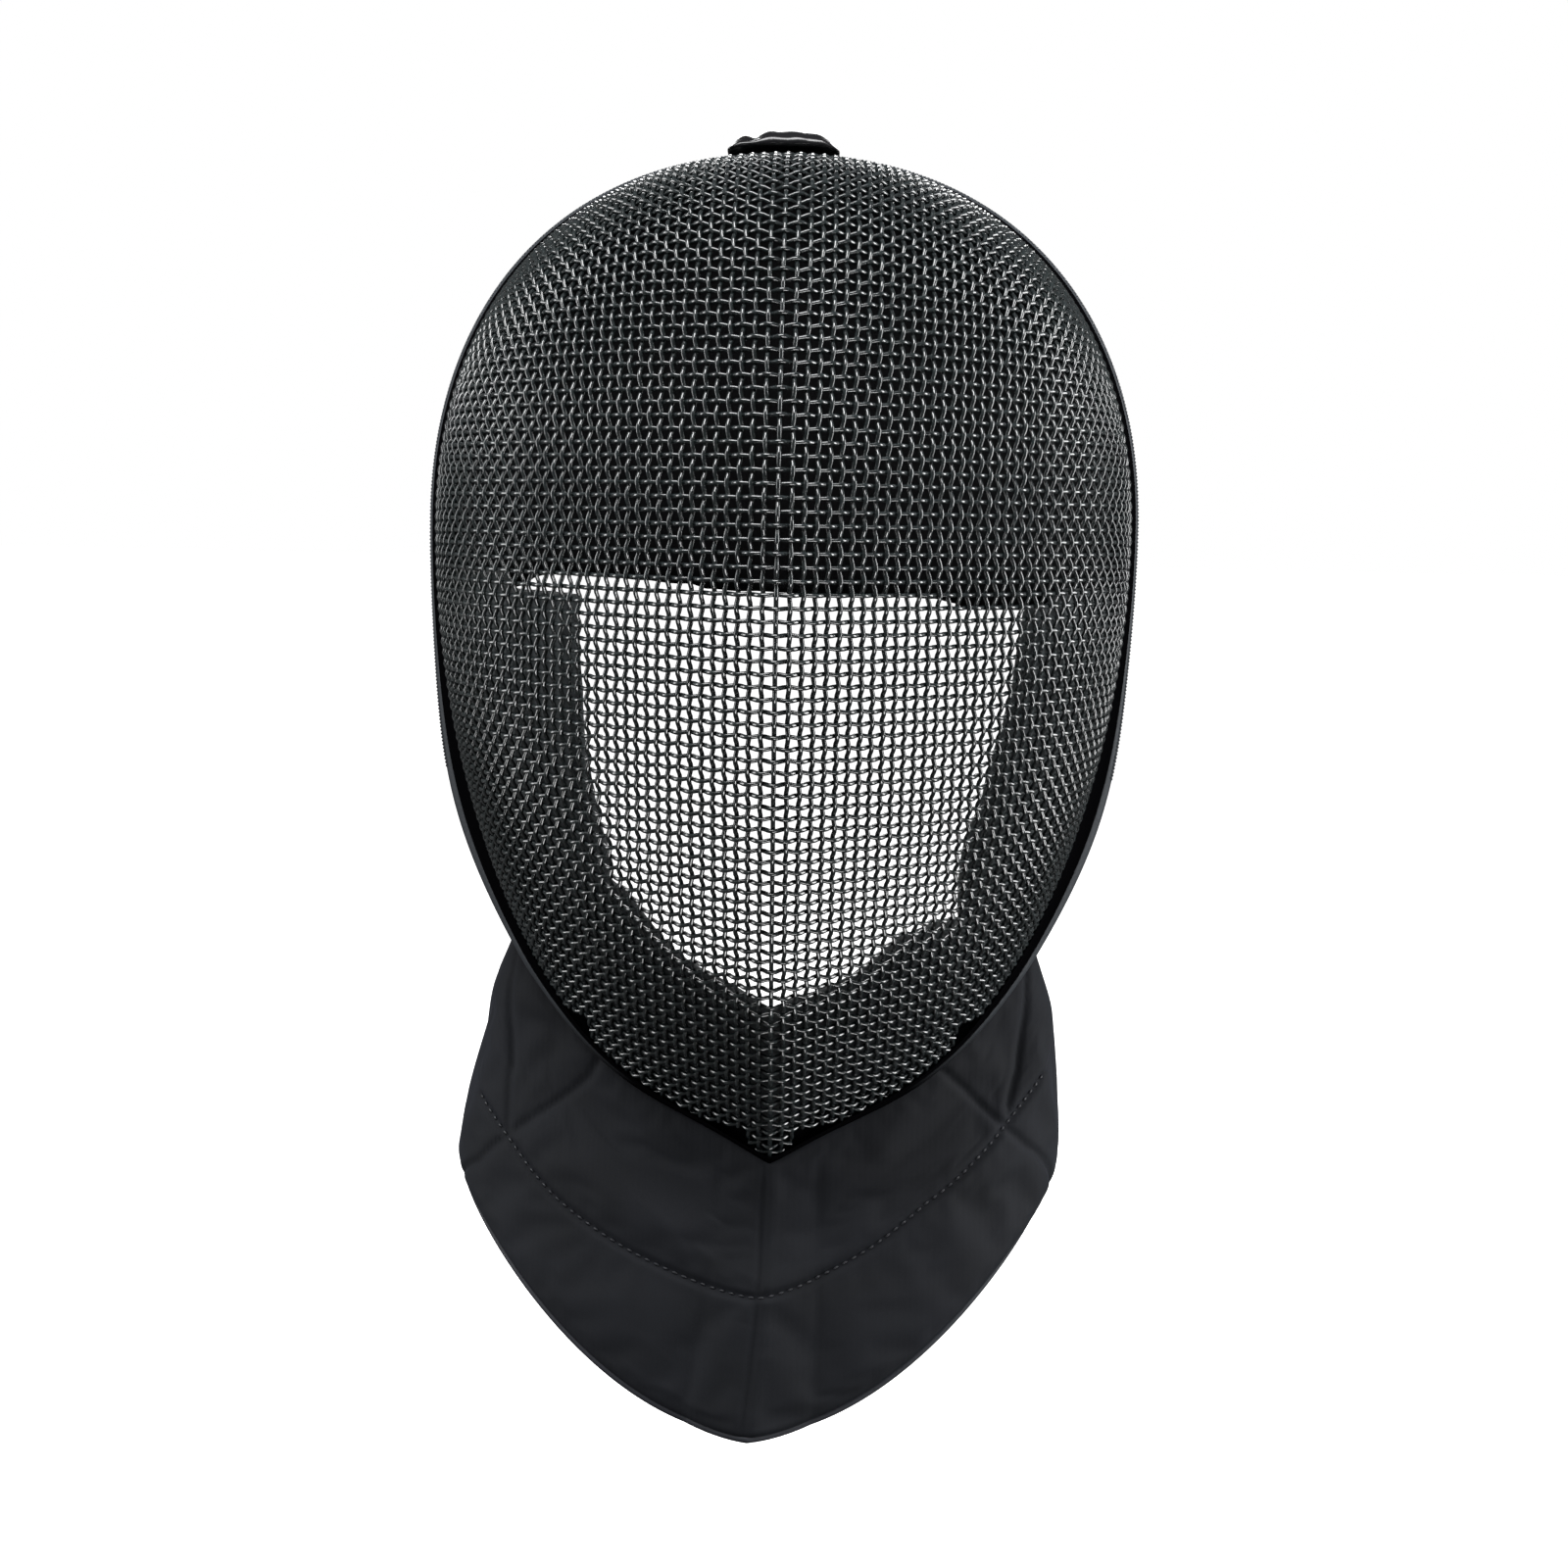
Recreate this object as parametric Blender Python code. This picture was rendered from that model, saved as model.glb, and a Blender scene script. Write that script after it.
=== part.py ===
"""A fencing mask: a wire mesh bowl with a keel, its padded edge trim, bib, inner pads and crown tongue.

Metres. +X is to the right of someone who faces the mask, +Y runs from the face to the back of the head,
and +Z is up. The origin is where the top of the head touches the underside of the tongue at the crown.
The bowl's formulas are written from its foremost point, the apex, and placed from there.
"""

import math

import bmesh
import bpy
import numpy as np
from mathutils import Vector

# Mesh bowl
MESH_WALL = 0.0020
BOWL_HALF_WIDTH = 0.0943
CROWN_RISE = 0.0990
CHIN_DROP = 0.1645
CROWN_DEPTH = 0.1120
TEMPLE_DEPTH = 0.1330
CHIN_DEPTH = 0.0840
FOREHEAD_LEAN = 0.0150
CROWN_DIP = 0.0035
KEEL_SLOPE = 0.55
KEEL_ROUNDING = 0.0040
KEEL_FADE = 0.45
UPPER_ROUNDNESS = 2.15
LOWER_ROUNDNESS = 1.90
WALL_ROUNDNESS = 2.50
JAW_SWEEP = 2.4
CHIN_POINT = 0.21
CHIN_POINT_SPREAD = 0.35
FOREHEAD_EASE = 1.5
CHIN_EASE = 1.6
CROWN_DIP_SPREAD = 4
CROWN_DIP_EDGE = 30

# Edge trim
FIT_GAP = 0.0003
TRIM_OUTER = 0.0025
TRIM_INNER = 0.0020
TRIM_WEB = 0.0024
TRIM_OUTER_LEG = 0.0120
TRIM_INNER_LEG = 0.0080
TRIM_CHIN_LEG = 0.0050
TRIM_MOUTH = 0.0006
TRIM_SEAT = 0.0007
TRIM_SHOULDER = 0.60
TRIM_FULL_SHARE = 0.55
TRIM_HEEL = 0.40
JAW_FLARE = 0.0031
JAW_DROP_SHARE = 0.46
JAW_SPREAD_SHARE = 0.22

# Bib
BIB_WALL = 0.0060
BIB_HALF_WIDTH = 0.0817
BIB_TIP_DROP = 0.2368
BIB_SIDE_DROP = 0.1785
BIB_REAR_DROP = 0.1480
BIB_TIP_DEPTH = 0.0740
BIB_SIDE_DEPTH = 0.1240
BIB_REAR_DEPTH = 0.1580
BIB_TOP_SHARE = 0.26
BIB_WRAP = math.radians(116)
BIB_REAR_TUCK = 0.40
BIB_KEEL = 0.0050
BIB_KEEL_SPREAD = 0.10
BIB_HEM_SWEEP = 1.85
BIB_REAR_SWEEP = 1.5
BIB_SEAM_FRONT = 0.50
BIB_SEAM_RISE = 0.30
BIB_SEAM_DENT = 0.0016
BIB_HEM_DENT = 0.0010
BIB_PUFF = 0.0030
BIB_UPPER_PUFF = 0.35
BIB_TOP_THIN = 0.25
BIB_EDGE_THIN = 0.60
BIB_ROLL = 0.0030
BIB_ROLL_SHARE = 0.45

# Pads
PAD_GAP = 0.0008
PAD_THICKNESS = 0.0110
CHEEK_END_SHARE = 0.690
CHIN_PAD_SHARE = 0.696
PAD_OUTER_SHARE = 0.985
PAD_CHIN_SETBACK = 0.013
PAD_SETBACK_SPREAD = 4
BROW_DROP = 0.0136
BROW_DEPTH = 0.0540
FOREHEAD_PAD_TOP = 0.0830
FOREHEAD_PAD_SHARE = 0.985
FOREHEAD_PAD_WALL = 0.0080
FOREHEAD_PAD_LEAN = 0.35
FOREHEAD_PAD_CLOSE = 0.80
FOREHEAD_PAD_SWEEP = 1.8
BROW_ROUNDNESS = 1.9
CROWN_NARROWING = 2.4

# Tongue and its cover
TONGUE_WIDTH = 0.0460
TONGUE_TIP_WIDTH = 0.0380
TONGUE_THICKNESS = 0.0060
TONGUE_FRONT = 0.0200
TONGUE_REACH = 0.1150
TONGUE_FALL = 0.1000
TONGUE_CROWN_DROP = 0.0020
TONGUE_FLAT = 0.0060
TONGUE_SPACING = 0.95
TONGUE_END_SHARE = 0.75
COVER_WIDTH = 0.0290
COVER_THICKNESS = 0.0045
COVER_FRONT = 0.0250
COVER_FLAP = 0.0030
COVER_SLACK = 0.0009
COVER_HEEL_ROUND = 0.30
COVER_TOE_ROUND = 0.50
COVER_TOE_BULGE = 0.20
COVER_STEP_LIFT = 0.90
COVER_TOE_LIFT = 0.35

# Height shares run from the apex down to the chin, and widths are shares of the bib's half-width.
BIB_SIDE_PROFILE = (
    {"height": 0.20, "width": 1.150},
    {"height": 0.45, "width": 1.050},
    {"height": 0.68, "width": 0.865},
    {"height": 0.80, "width": 0.937},
    {"height": 1.06, "width": 1.022},
    {"height": 1.50, "width": 1.032},
)

# The window's edge, where the inner pads end: rim angles from the left brow round the chin to the right
# brow, and how far out each place lies, as a share of the way to the rim.
WINDOW_EDGE = (
    {"angle": -172, "share": 0.550},
    {"angle": -158, "share": 0.586},
    {"angle": -146, "share": 0.640},
    {"angle": -136, "share": 0.750},
    {"angle": -127, "share": 0.713},
    {"angle": -114, "share": 0.738},
    {"angle": -85, "share": 0.740},
    {"angle": -74, "share": 0.756},
    {"angle": -59, "share": 0.741},
    {"angle": -44, "share": 0.831},
    {"angle": -37, "share": 0.728},
    {"angle": -27, "share": 0.697},
    {"angle": -10, "share": 0.697},
)

# A pad's section from its outer to its inner edge, as shares of its width and of its thickness.
PAD_SECTION = (
    {"across": 0.00, "depth": 0.45},
    {"across": 0.12, "depth": 0.85},
    {"across": 0.35, "depth": 1.00},
    {"across": 0.75, "depth": 0.95},
    {"across": 1.00, "depth": 0.45},
)

# The lining's lower edge from left to right, as shares of the bowl's half-width and of the brow's drop:
# it has a notch above the left pad, and it hangs lower towards the right one.
BROW_EDGE = (
    {"across": -1.00, "drop": 1.00},
    {"across": -0.83, "drop": 1.00},
    {"across": -0.79, "drop": 1.12},
    {"across": -0.74, "drop": 1.12},
    {"across": -0.70, "drop": 0.85},
    {"across": -0.58, "drop": 0.81},
    {"across": -0.20, "drop": 0.98},
    {"across": 0.35, "drop": 1.07},
    {"across": 0.60, "drop": 1.35},
    {"across": 0.73, "drop": 1.33},
    {"across": 0.78, "drop": 1.10},
    {"across": 1.00, "drop": 1.10},
)

# Corners of the tongue's section, as shares of its half-width and half-thickness.
TONGUE_CORNERS = (
    {"across": -1.0, "lift": -0.5},
    {"across": -1.0, "lift": 0.5},
    {"across": -0.9, "lift": 1.0},
    {"across": 0.9, "lift": 1.0},
    {"across": 1.0, "lift": 0.5},
    {"across": 1.0, "lift": -0.5},
    {"across": 0.9, "lift": -1.0},
    {"across": -0.9, "lift": -1.0},
)

# The cover's sections from left to right, as shares of its half-width and thickness.
COVER_SECTIONS = (
    {"across": -1.00, "puff": 0.30},
    {"across": -0.94, "puff": 0.72},
    {"across": -0.76, "puff": 1.00},
    {"across": 0.00, "puff": 1.05},
    {"across": 0.76, "puff": 1.00},
    {"across": 0.94, "puff": 0.72},
    {"across": 1.00, "puff": 0.30},
)

RIM_STATIONS = 64
RIM_SAMPLES = 721
RIM_STEP = 0.015
RIM_TURN = 0.010
NORMAL_TURN = 0.004
NORMAL_INNER = 0.004
NORMAL_OUTER = 0.002
BIB_STEP = 0.010
BOWL_SHARES = (0.10, 0.24, 0.40, 0.55, 0.68, 0.78, 0.86, 0.92, 0.96, 0.985, 1.0)
BIB_UPPER_ROWS = 5
BIB_LOWER_ROWS = 5
FOREHEAD_PAD_ROWS = 9
FOREHEAD_PAD_COLUMNS = 33
FOREHEAD_ROW_SPACING = 0.85
TONGUE_STATIONS = 15

HALF_WALL = MESH_WALL / 2
CROWN_RIM = CROWN_RISE - CROWN_DIP
TRIM_TOP = CROWN_RIM + HALF_WALL + FIT_GAP + TRIM_OUTER
TONGUE_TOP = CROWN_RIM - HALF_WALL - FIT_GAP - TRIM_INNER - FIT_GAP - TONGUE_CROWN_DROP
APEX = Vector((0.0, -CROWN_DEPTH, TONGUE_THICKNESS - TONGUE_TOP))


def clear_scene():
    for item in list(bpy.data.objects):
        bpy.data.objects.remove(item, do_unlink=True)


def plain_material(name, colour, roughness, metallic=0.0):
    material = bpy.data.materials.new(name)
    material.use_nodes = True
    shader = material.node_tree.nodes["Principled BSDF"]
    shader.inputs["Base Color"].default_value = (*colour, 1.0)
    shader.inputs["Roughness"].default_value = roughness
    shader.inputs["Metallic"].default_value = metallic
    return material


def add_piece(name, points, faces, material):
    """One closed body from points given from the apex."""
    mesh = bpy.data.meshes.new(name)
    mesh.from_pydata([Vector(p) + APEX for p in points], [], faces)
    body = bmesh.new()
    body.from_mesh(mesh)
    bmesh.ops.recalc_face_normals(body, faces=body.faces)
    if body.calc_volume(signed=True) < 0:
        bmesh.ops.reverse_faces(body, faces=body.faces)
    body.to_mesh(mesh)
    body.free()
    mesh.materials.append(material)
    mesh.shade_smooth()
    mesh.set_sharp_from_angle(angle=math.radians(40))
    piece = bpy.data.objects.new(name, mesh)
    bpy.context.scene.collection.objects.link(piece)
    return piece


def smooth_lookup(rows, key, value, at):
    """A table's value at a place, eased between its rows."""
    places = [row[key] for row in rows]
    amounts = [row[value] for row in rows]
    if at <= places[0]:
        return amounts[0]
    for low in range(len(rows) - 1):
        if at <= places[low + 1]:
            share = (at - places[low]) / (places[low + 1] - places[low])
            eased = (share + share * share * (3 - 2 * share)) / 2
            return amounts[low] + (amounts[low + 1] - amounts[low]) * eased
    return amounts[-1]


def keel_rise(x, height_share):
    """How far the surface falls back beside the keel line, as a rounded V."""
    slope = KEEL_SLOPE * (1 - KEEL_FADE * max(0.0, height_share) ** 2)
    return slope * (math.hypot(x, KEEL_ROUNDING) - KEEL_ROUNDING)


def rim_point(angle):
    """The mesh's cut edge. Angle 90 degrees is the crown, 0 the right temple and -90 the chin."""
    across = math.cos(angle)
    up = math.sin(angle)
    side = math.copysign(1.0, across)
    if up >= 0:
        x = BOWL_HALF_WIDTH * abs(across) ** (2 / UPPER_ROUNDNESS)
        z = CROWN_RISE * up ** (2 / UPPER_ROUNDNESS)
        y = TEMPLE_DEPTH + (CROWN_DEPTH - TEMPLE_DEPTH) * (z / CROWN_RISE) ** 2
    else:
        x = BOWL_HALF_WIDTH * abs(across) ** (2 / LOWER_ROUNDNESS)
        point = CHIN_POINT * abs(across) * math.exp(-((across / CHIN_POINT_SPREAD) ** 2))
        drop = max(0.0, -up - point)
        z = -CHIN_DROP * drop
        y = TEMPLE_DEPTH + (CHIN_DEPTH - TEMPLE_DEPTH) * drop**JAW_SWEEP
    return Vector((side * x, y, z))


def bowl_point(angle, share):
    """The middle of the mesh wall, from the apex at share 0 to the rim at share 1."""
    rim = rim_point(angle)
    x = share * rim.x
    z = share * rim.z
    if rim.z >= 0:
        height = rim.z / CROWN_RISE
        spine = FOREHEAD_LEAN * height**2
        spine_here = spine * share**FOREHEAD_EASE
        z -= CROWN_DIP * height**CROWN_DIP_SPREAD * share**CROWN_DIP_EDGE
    else:
        height = rim.z / CHIN_DROP
        spine = CHIN_DEPTH * height**2
        spine_here = spine * share**CHIN_EASE
    rim_fall = rim.y - spine - keel_rise(rim.x, height)
    wall = 1 - (1 - min(share, 1.0) ** WALL_ROUNDNESS) ** (1 / WALL_ROUNDNESS)
    y = spine_here + keel_rise(x, height * share) + rim_fall * wall
    return Vector((x, y, z))


def bowl_normal(angle, share):
    """Outward normal of the mesh wall."""
    inner = max(share - NORMAL_INNER, 0.0)
    outer = min(share + NORMAL_OUTER, 1.0)
    along = bowl_point(angle, outer) - bowl_point(angle, inner)
    around = bowl_point(angle + NORMAL_TURN, share) - bowl_point(angle - NORMAL_TURN, share)
    return along.cross(around).normalized()


def spread_angles(start, end, count):
    """Rim angles from start to end whose points are evenly spaced along the rim."""
    fine = np.linspace(start, end, RIM_SAMPLES)
    points = np.array([rim_point(a) for a in fine])
    steps = np.linalg.norm(np.diff(points, axis=0), axis=1)
    run = np.concatenate(([0.0], np.cumsum(steps)))
    return [float(a) for a in np.interp(np.linspace(0, run[-1], count), run, fine)]


def rim_angle_at(drop_share):
    """The right-hand rim angle at a share of the chin's drop."""
    return -math.asin(drop_share)


def rim_stations():
    """The rim angles that the bowl, the trim and the bib share, so that their faces run side by side."""
    return spread_angles(math.pi / 2, -math.pi * 3 / 2, RIM_STATIONS + 1)[:-1]


def rim_frame(angle):
    """At the rim: its point, the direction out of the wall, and the direction that leaves the bowl."""
    point = bowl_point(angle, 1.0)
    back = (point - bowl_point(angle, 1.0 - RIM_STEP)).normalized()
    around = bowl_point(angle + RIM_TURN, 1.0) - bowl_point(angle - RIM_TURN, 1.0)
    around.normalize()
    out = back.cross(around).normalized()
    back = around.cross(out).normalized()
    return point, out, back


def wall_faces(rows, columns, closed):
    """Faces of a wall whose outer grid comes first and inner grid second, with its open borders joined."""
    size = rows * columns
    last = columns if closed else columns - 1
    faces = []
    for r in range(rows - 1):
        for c in range(last):
            d = (c + 1) % columns
            a = r * columns
            b = a + columns
            quad = (a + c, a + d, b + d, b + c)
            faces.append(quad)
            faces.append(tuple(size + i for i in reversed(quad)))
    for c in range(last):
        d = (c + 1) % columns
        faces.append((d, c, size + c, size + d))
        low = (rows - 1) * columns
        faces.append((low + c, low + d, size + low + d, size + low + c))
    if not closed:
        for r in range(rows - 1):
            a = r * columns
            b = a + columns
            faces.append((a, b, size + b, size + a))
            a += columns - 1
            b += columns - 1
            faces.append((b, a, size + a, size + b))
    return faces


def ring_faces(stations, corners, closed):
    """Faces of a closed section carried through stations."""
    faces = []
    last = stations if closed else stations - 1
    for s in range(last):
        t = (s + 1) % stations
        for c in range(corners):
            d = (c + 1) % corners
            faces.append((s * corners + c, s * corners + d, t * corners + d, t * corners + c))
    if not closed:
        faces.append(tuple(reversed(range(corners))))
        faces.append(tuple((stations - 1) * corners + c for c in range(corners)))
    return faces


def make_mesh_bowl(material):
    """The woven steel bowl as one thin wall with its form: a V keel, a round crown and a tucked chin."""
    angles = rim_stations()
    outer = []
    inner = []
    for share in BOWL_SHARES:
        for angle in angles:
            point = bowl_point(angle, share)
            normal = bowl_normal(angle, share)
            outer.append(point + normal * HALF_WALL)
            inner.append(point - normal * HALF_WALL)
    faces = []
    rows = len(BOWL_SHARES)
    columns = len(angles)
    size = rows * columns
    front = 2 * size
    back = front + 1
    for r in range(rows - 1):
        for c in range(columns):
            d = (c + 1) % columns
            a = r * columns
            b = a + columns
            faces.append((a + c, a + d, b + d, b + c))
            faces.append((size + b + c, size + b + d, size + a + d, size + a + c))
    for c in range(columns):
        d = (c + 1) % columns
        faces.append((front, d, c))
        faces.append((back, size + c, size + d))
        low = (rows - 1) * columns
        faces.append((low + c, low + d, size + low + d, size + low + c))
    middle = bowl_point(0.0, 0.0)
    points = outer + inner + [middle - Vector((0, HALF_WALL, 0)), middle + Vector((0, HALF_WALL, 0))]
    return add_piece("mesh_bowl", points, faces, material)


def trim_section(angle):
    """Corners of the trim's channel in (out, back), round the mesh's edge."""
    point = rim_point(angle)
    drop = max(0.0, -point.z / CHIN_DROP)
    flare = JAW_FLARE * math.exp(-(((drop - JAW_DROP_SHARE) / JAW_SPREAD_SHARE) ** 2))
    clear = HALF_WALL + FIT_GAP
    outer = clear + TRIM_OUTER + flare
    inner = clear + TRIM_INNER
    leg = TRIM_OUTER_LEG + (TRIM_CHIN_LEG - TRIM_OUTER_LEG) * drop**2
    inner_leg = TRIM_INNER_LEG + (TRIM_CHIN_LEG - TRIM_INNER_LEG) * drop**2
    web = TRIM_SEAT + TRIM_WEB
    return (
        (clear + TRIM_MOUTH, -leg),
        (clear + TRIM_SHOULDER * (outer - clear), -leg),
        (outer, -leg * TRIM_FULL_SHARE),
        (outer, web * TRIM_HEEL),
        (clear, web),
        (-inner, web),
        (-inner, -inner_leg),
        (-clear - TRIM_MOUTH, -inner_leg),
        (-clear, TRIM_SEAT),
        (clear, TRIM_SEAT),
    )


def make_edge_trim(material):
    """The padded binding that folds over the mesh's edge and stands proud of it at the jaw corners."""
    angles = rim_stations()
    points = []
    for angle in angles:
        place, out, back = rim_frame(angle)
        section = trim_section(angle)
        points.extend(place + out * n + back * b for n, b in section)
    return add_piece("edge_trim", points, ring_faces(len(angles), len(section), True), material)


def bib_half_width(z):
    return BIB_HALF_WIDTH * smooth_lookup(BIB_SIDE_PROFILE, "height", "width", -z / CHIN_DROP)


def bib_top(u):
    """The bib's upper edge, behind the trim. u runs from -1 at the left rear to 1 at the right rear."""
    end = rim_angle_at(BIB_TOP_SHARE)
    place, out, back = rim_frame(-math.pi / 2 + u * (end + math.pi / 2))
    return place + back * (TRIM_SEAT + TRIM_WEB + FIT_GAP), out, back


def bib_hem(u):
    """The bib's lower edge: a pointed front tip, level sides and a raised rear corner."""
    turn = abs(u) * BIB_WRAP
    side_at = math.pi / 2 / BIB_WRAP
    reach = min(abs(u) / side_at, 1.0)
    past = max(0.0, (abs(u) - side_at) / (1 - side_at))
    across = math.sin(turn) if turn < math.pi / 2 else 1 - BIB_REAR_TUCK * (1 - math.sin(turn))
    x = math.copysign(BIB_HALF_WIDTH * across, u)
    sweep = math.sin(min(turn, math.pi / 2)) ** BIB_HEM_SWEEP
    z = -BIB_TIP_DROP + (BIB_TIP_DROP - BIB_SIDE_DROP) * sweep
    z += (BIB_SIDE_DROP - BIB_REAR_DROP) * past**BIB_REAR_SWEEP
    y = BIB_TIP_DEPTH + (BIB_SIDE_DEPTH - BIB_TIP_DEPTH) * (1 - math.cos(reach * math.pi / 2))
    y += (BIB_REAR_DEPTH - BIB_SIDE_DEPTH) * past
    return Vector((x, y, z))


def bib_middle(u, v):
    """The middle of the bib's wall, from its top at v = 0 to its hem at v = 1."""
    top, _, back = bib_top(u)
    hem = bib_hem(u)
    z = top.z + (hem.z - top.z) * v
    width_top = top.x / bib_half_width(top.z)
    width_hem = hem.x / bib_half_width(hem.z)
    x = bib_half_width(z) * (width_top + (width_hem - width_top) * v)
    y = top.y + (hem.y - top.y) * v
    keel = BIB_KEEL * max(0.0, 1 - abs(u) / BIB_KEEL_SPREAD) * v
    roll = BIB_ROLL * math.sin(math.pi * min(v / BIB_ROLL_SHARE, 1.0))
    return Vector((x, y - keel, z)) + back * roll


def make_bib(material):
    """The quilted bib: a padded cloth wall with a keel fold, a V seam and a stitched hem."""
    rows = BIB_UPPER_ROWS + BIB_LOWER_ROWS + 1
    half = BIB_WALL / 2
    end = rim_angle_at(BIB_TOP_SHARE)
    places = [(a + math.pi / 2) / (end + math.pi / 2) for a in rim_stations()]
    places = sorted(u for u in places if abs(u) <= 1)
    outer = []
    inner = []
    for row in range(rows):
        for u in places:
            seam = BIB_SEAM_FRONT + BIB_SEAM_RISE * u * u
            if row <= BIB_UPPER_ROWS:
                share = row / BIB_UPPER_ROWS
                v = seam * share
                fullness = BIB_UPPER_PUFF
            else:
                share = (row - BIB_UPPER_ROWS) / BIB_LOWER_ROWS
                v = seam + (1 - seam) * share
                fullness = 1.0
            middle = bib_middle(u, v)
            across = bib_middle(min(u + BIB_STEP, 1), v) - bib_middle(max(u - BIB_STEP, -1), v)
            down = bib_middle(u, min(v + BIB_STEP, 1)) - bib_middle(u, max(v - BIB_STEP, 0))
            normal = bib_top(u)[1] if row == 0 else down.cross(across).normalized()
            puff = BIB_PUFF * math.sin(math.pi * share) ** 2 * fullness
            if row == BIB_UPPER_ROWS:
                puff = -BIB_SEAM_DENT
            if row == rows - 1:
                puff = -BIB_HEM_DENT
            if row == 0:
                puff = -half * BIB_TOP_THIN
            back_share = BIB_EDGE_THIN if row in (0, rows - 1) else 1.0
            outer.append(middle + normal * (half + puff))
            inner.append(middle - normal * half * back_share)
    faces = wall_faces(rows, len(places), False)
    return add_piece("bib", outer + inner, faces, material)


def pad_outer_share(angle):
    """How far out a pad reaches: it keeps clear of the trim's short leg at the chin."""
    return PAD_OUTER_SHARE - PAD_CHIN_SETBACK * math.sin(angle) ** PAD_SETBACK_SPREAD


def window_share(angle):
    return smooth_lookup(WINDOW_EDGE, "angle", "share", math.degrees(angle))


def make_pad(name, stations, ray_at, level_at, material):
    """A flat-backed roll inside the mesh.

    ray_at gives the rim angle at each station and share of the way out. level_at is 1 where the pad's end
    is level and 0 where it is square to the mesh.
    """
    near = HALF_WALL + PAD_GAP
    points = []
    for station in stations:
        outer = pad_outer_share(station)
        inner = window_share(ray_at(station, window_share(station)))
        outside = []
        inside = []
        for row in PAD_SECTION:
            share = outer + (inner - outer) * row["across"]
            angle = ray_at(station, share)
            middle = bowl_point(angle, share)
            normal = bowl_normal(angle, share)
            normal.z *= 1 - level_at(station)
            normal.normalize()
            outside.append(middle - normal * near)
            inside.append(middle - normal * (near + PAD_THICKNESS * row["depth"]))
        points.extend(outside + inside[::-1])
    return add_piece(name, points, ring_faces(len(stations), 2 * len(PAD_SECTION), False), material)


def brow_drop(across):
    """How far the lining's lower edge lies below the apex, at a share of the bowl's half-width."""
    return BROW_DROP * smooth_lookup(BROW_EDGE, "across", "drop", across)


def make_cheek_pad(name, side, material):
    """A padded roll inside one side of the mesh, with a level top under the lining, down to the jaw."""
    top = brow_drop(side) + PAD_GAP

    def level_angle(share):
        return rim_angle_at(top / (CHIN_DROP * share))

    start = level_angle(PAD_OUTER_SHARE)
    end = rim_angle_at(CHEEK_END_SHARE)
    stations = [start] + [a for a in rim_stations() if end < a < start] + [end]

    def level_at(station):
        right_station = station if side > 0 else -math.pi - station
        return (right_station - end) / (start - end)

    def ray_at(station, share):
        return station + side * level_at(station) * (level_angle(share) - start)

    if side < 0:
        stations = [-math.pi - a for a in stations]
    return make_pad(name, stations, ray_at, level_at, material)


def make_chin_pad(material):
    """A padded roll inside the chin, from one jaw to the other."""
    start = rim_angle_at(CHIN_PAD_SHARE)
    end = -math.pi - start
    stations = [start] + [a for a in rim_stations() if end < a < start] + [end]
    return make_pad("chin_pad", stations, lambda station, share: station, lambda station: 0.0, material)


def upper_angle(z, share):
    """The right-hand rim angle whose point at a share of the way out has this height."""
    rim_z = z / share
    if rim_z >= 0:
        return math.asin((rim_z / CROWN_RISE) ** (UPPER_ROUNDNESS / 2))
    return rim_angle_at(-rim_z / CHIN_DROP)


def make_forehead_pad(material):
    """The crown lining: a hood sewn in at the sides, which stands behind the mesh from the brow upwards."""
    rows = FOREHEAD_PAD_ROWS
    columns = FOREHEAD_PAD_COLUMNS
    outer = []
    inner = []
    for row in range(rows):
        climb = (row / (rows - 1)) ** FOREHEAD_ROW_SPACING
        z = -BROW_DROP + (FOREHEAD_PAD_TOP + BROW_DROP) * climb
        angle = upper_angle(z, FOREHEAD_PAD_SHARE)
        edge = bowl_point(angle, FOREHEAD_PAD_SHARE)
        edge -= bowl_normal(angle, FOREHEAD_PAD_SHARE) * (HALF_WALL + PAD_GAP)
        height = max(0.0, z / CROWN_RISE)
        closing = FOREHEAD_PAD_CLOSE * height**FOREHEAD_PAD_SWEEP
        front = BROW_DEPTH + (edge.y - BROW_DEPTH) * closing
        for column in range(columns):
            turn = (column / (columns - 1) - 0.5) * math.pi
            x = edge.x * math.sin(turn)
            sag = (brow_drop(x / BOWL_HALF_WIDTH) - BROW_DROP) * (1 - climb)
            bow = max(0.0, math.cos(turn)) ** (BROW_ROUNDNESS + CROWN_NARROWING * height)
            y = edge.y - (edge.y - front) * bow
            facing = Vector((math.sin(turn), -math.cos(turn), FOREHEAD_PAD_LEAN * height))
            facing.normalize()
            place = Vector((x, y, z - sag))
            outer.append(place)
            inner.append(place - facing * FOREHEAD_PAD_WALL)
    faces = wall_faces(rows, columns, False)
    return add_piece("forehead_pad", outer + inner, faces, material)


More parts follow.
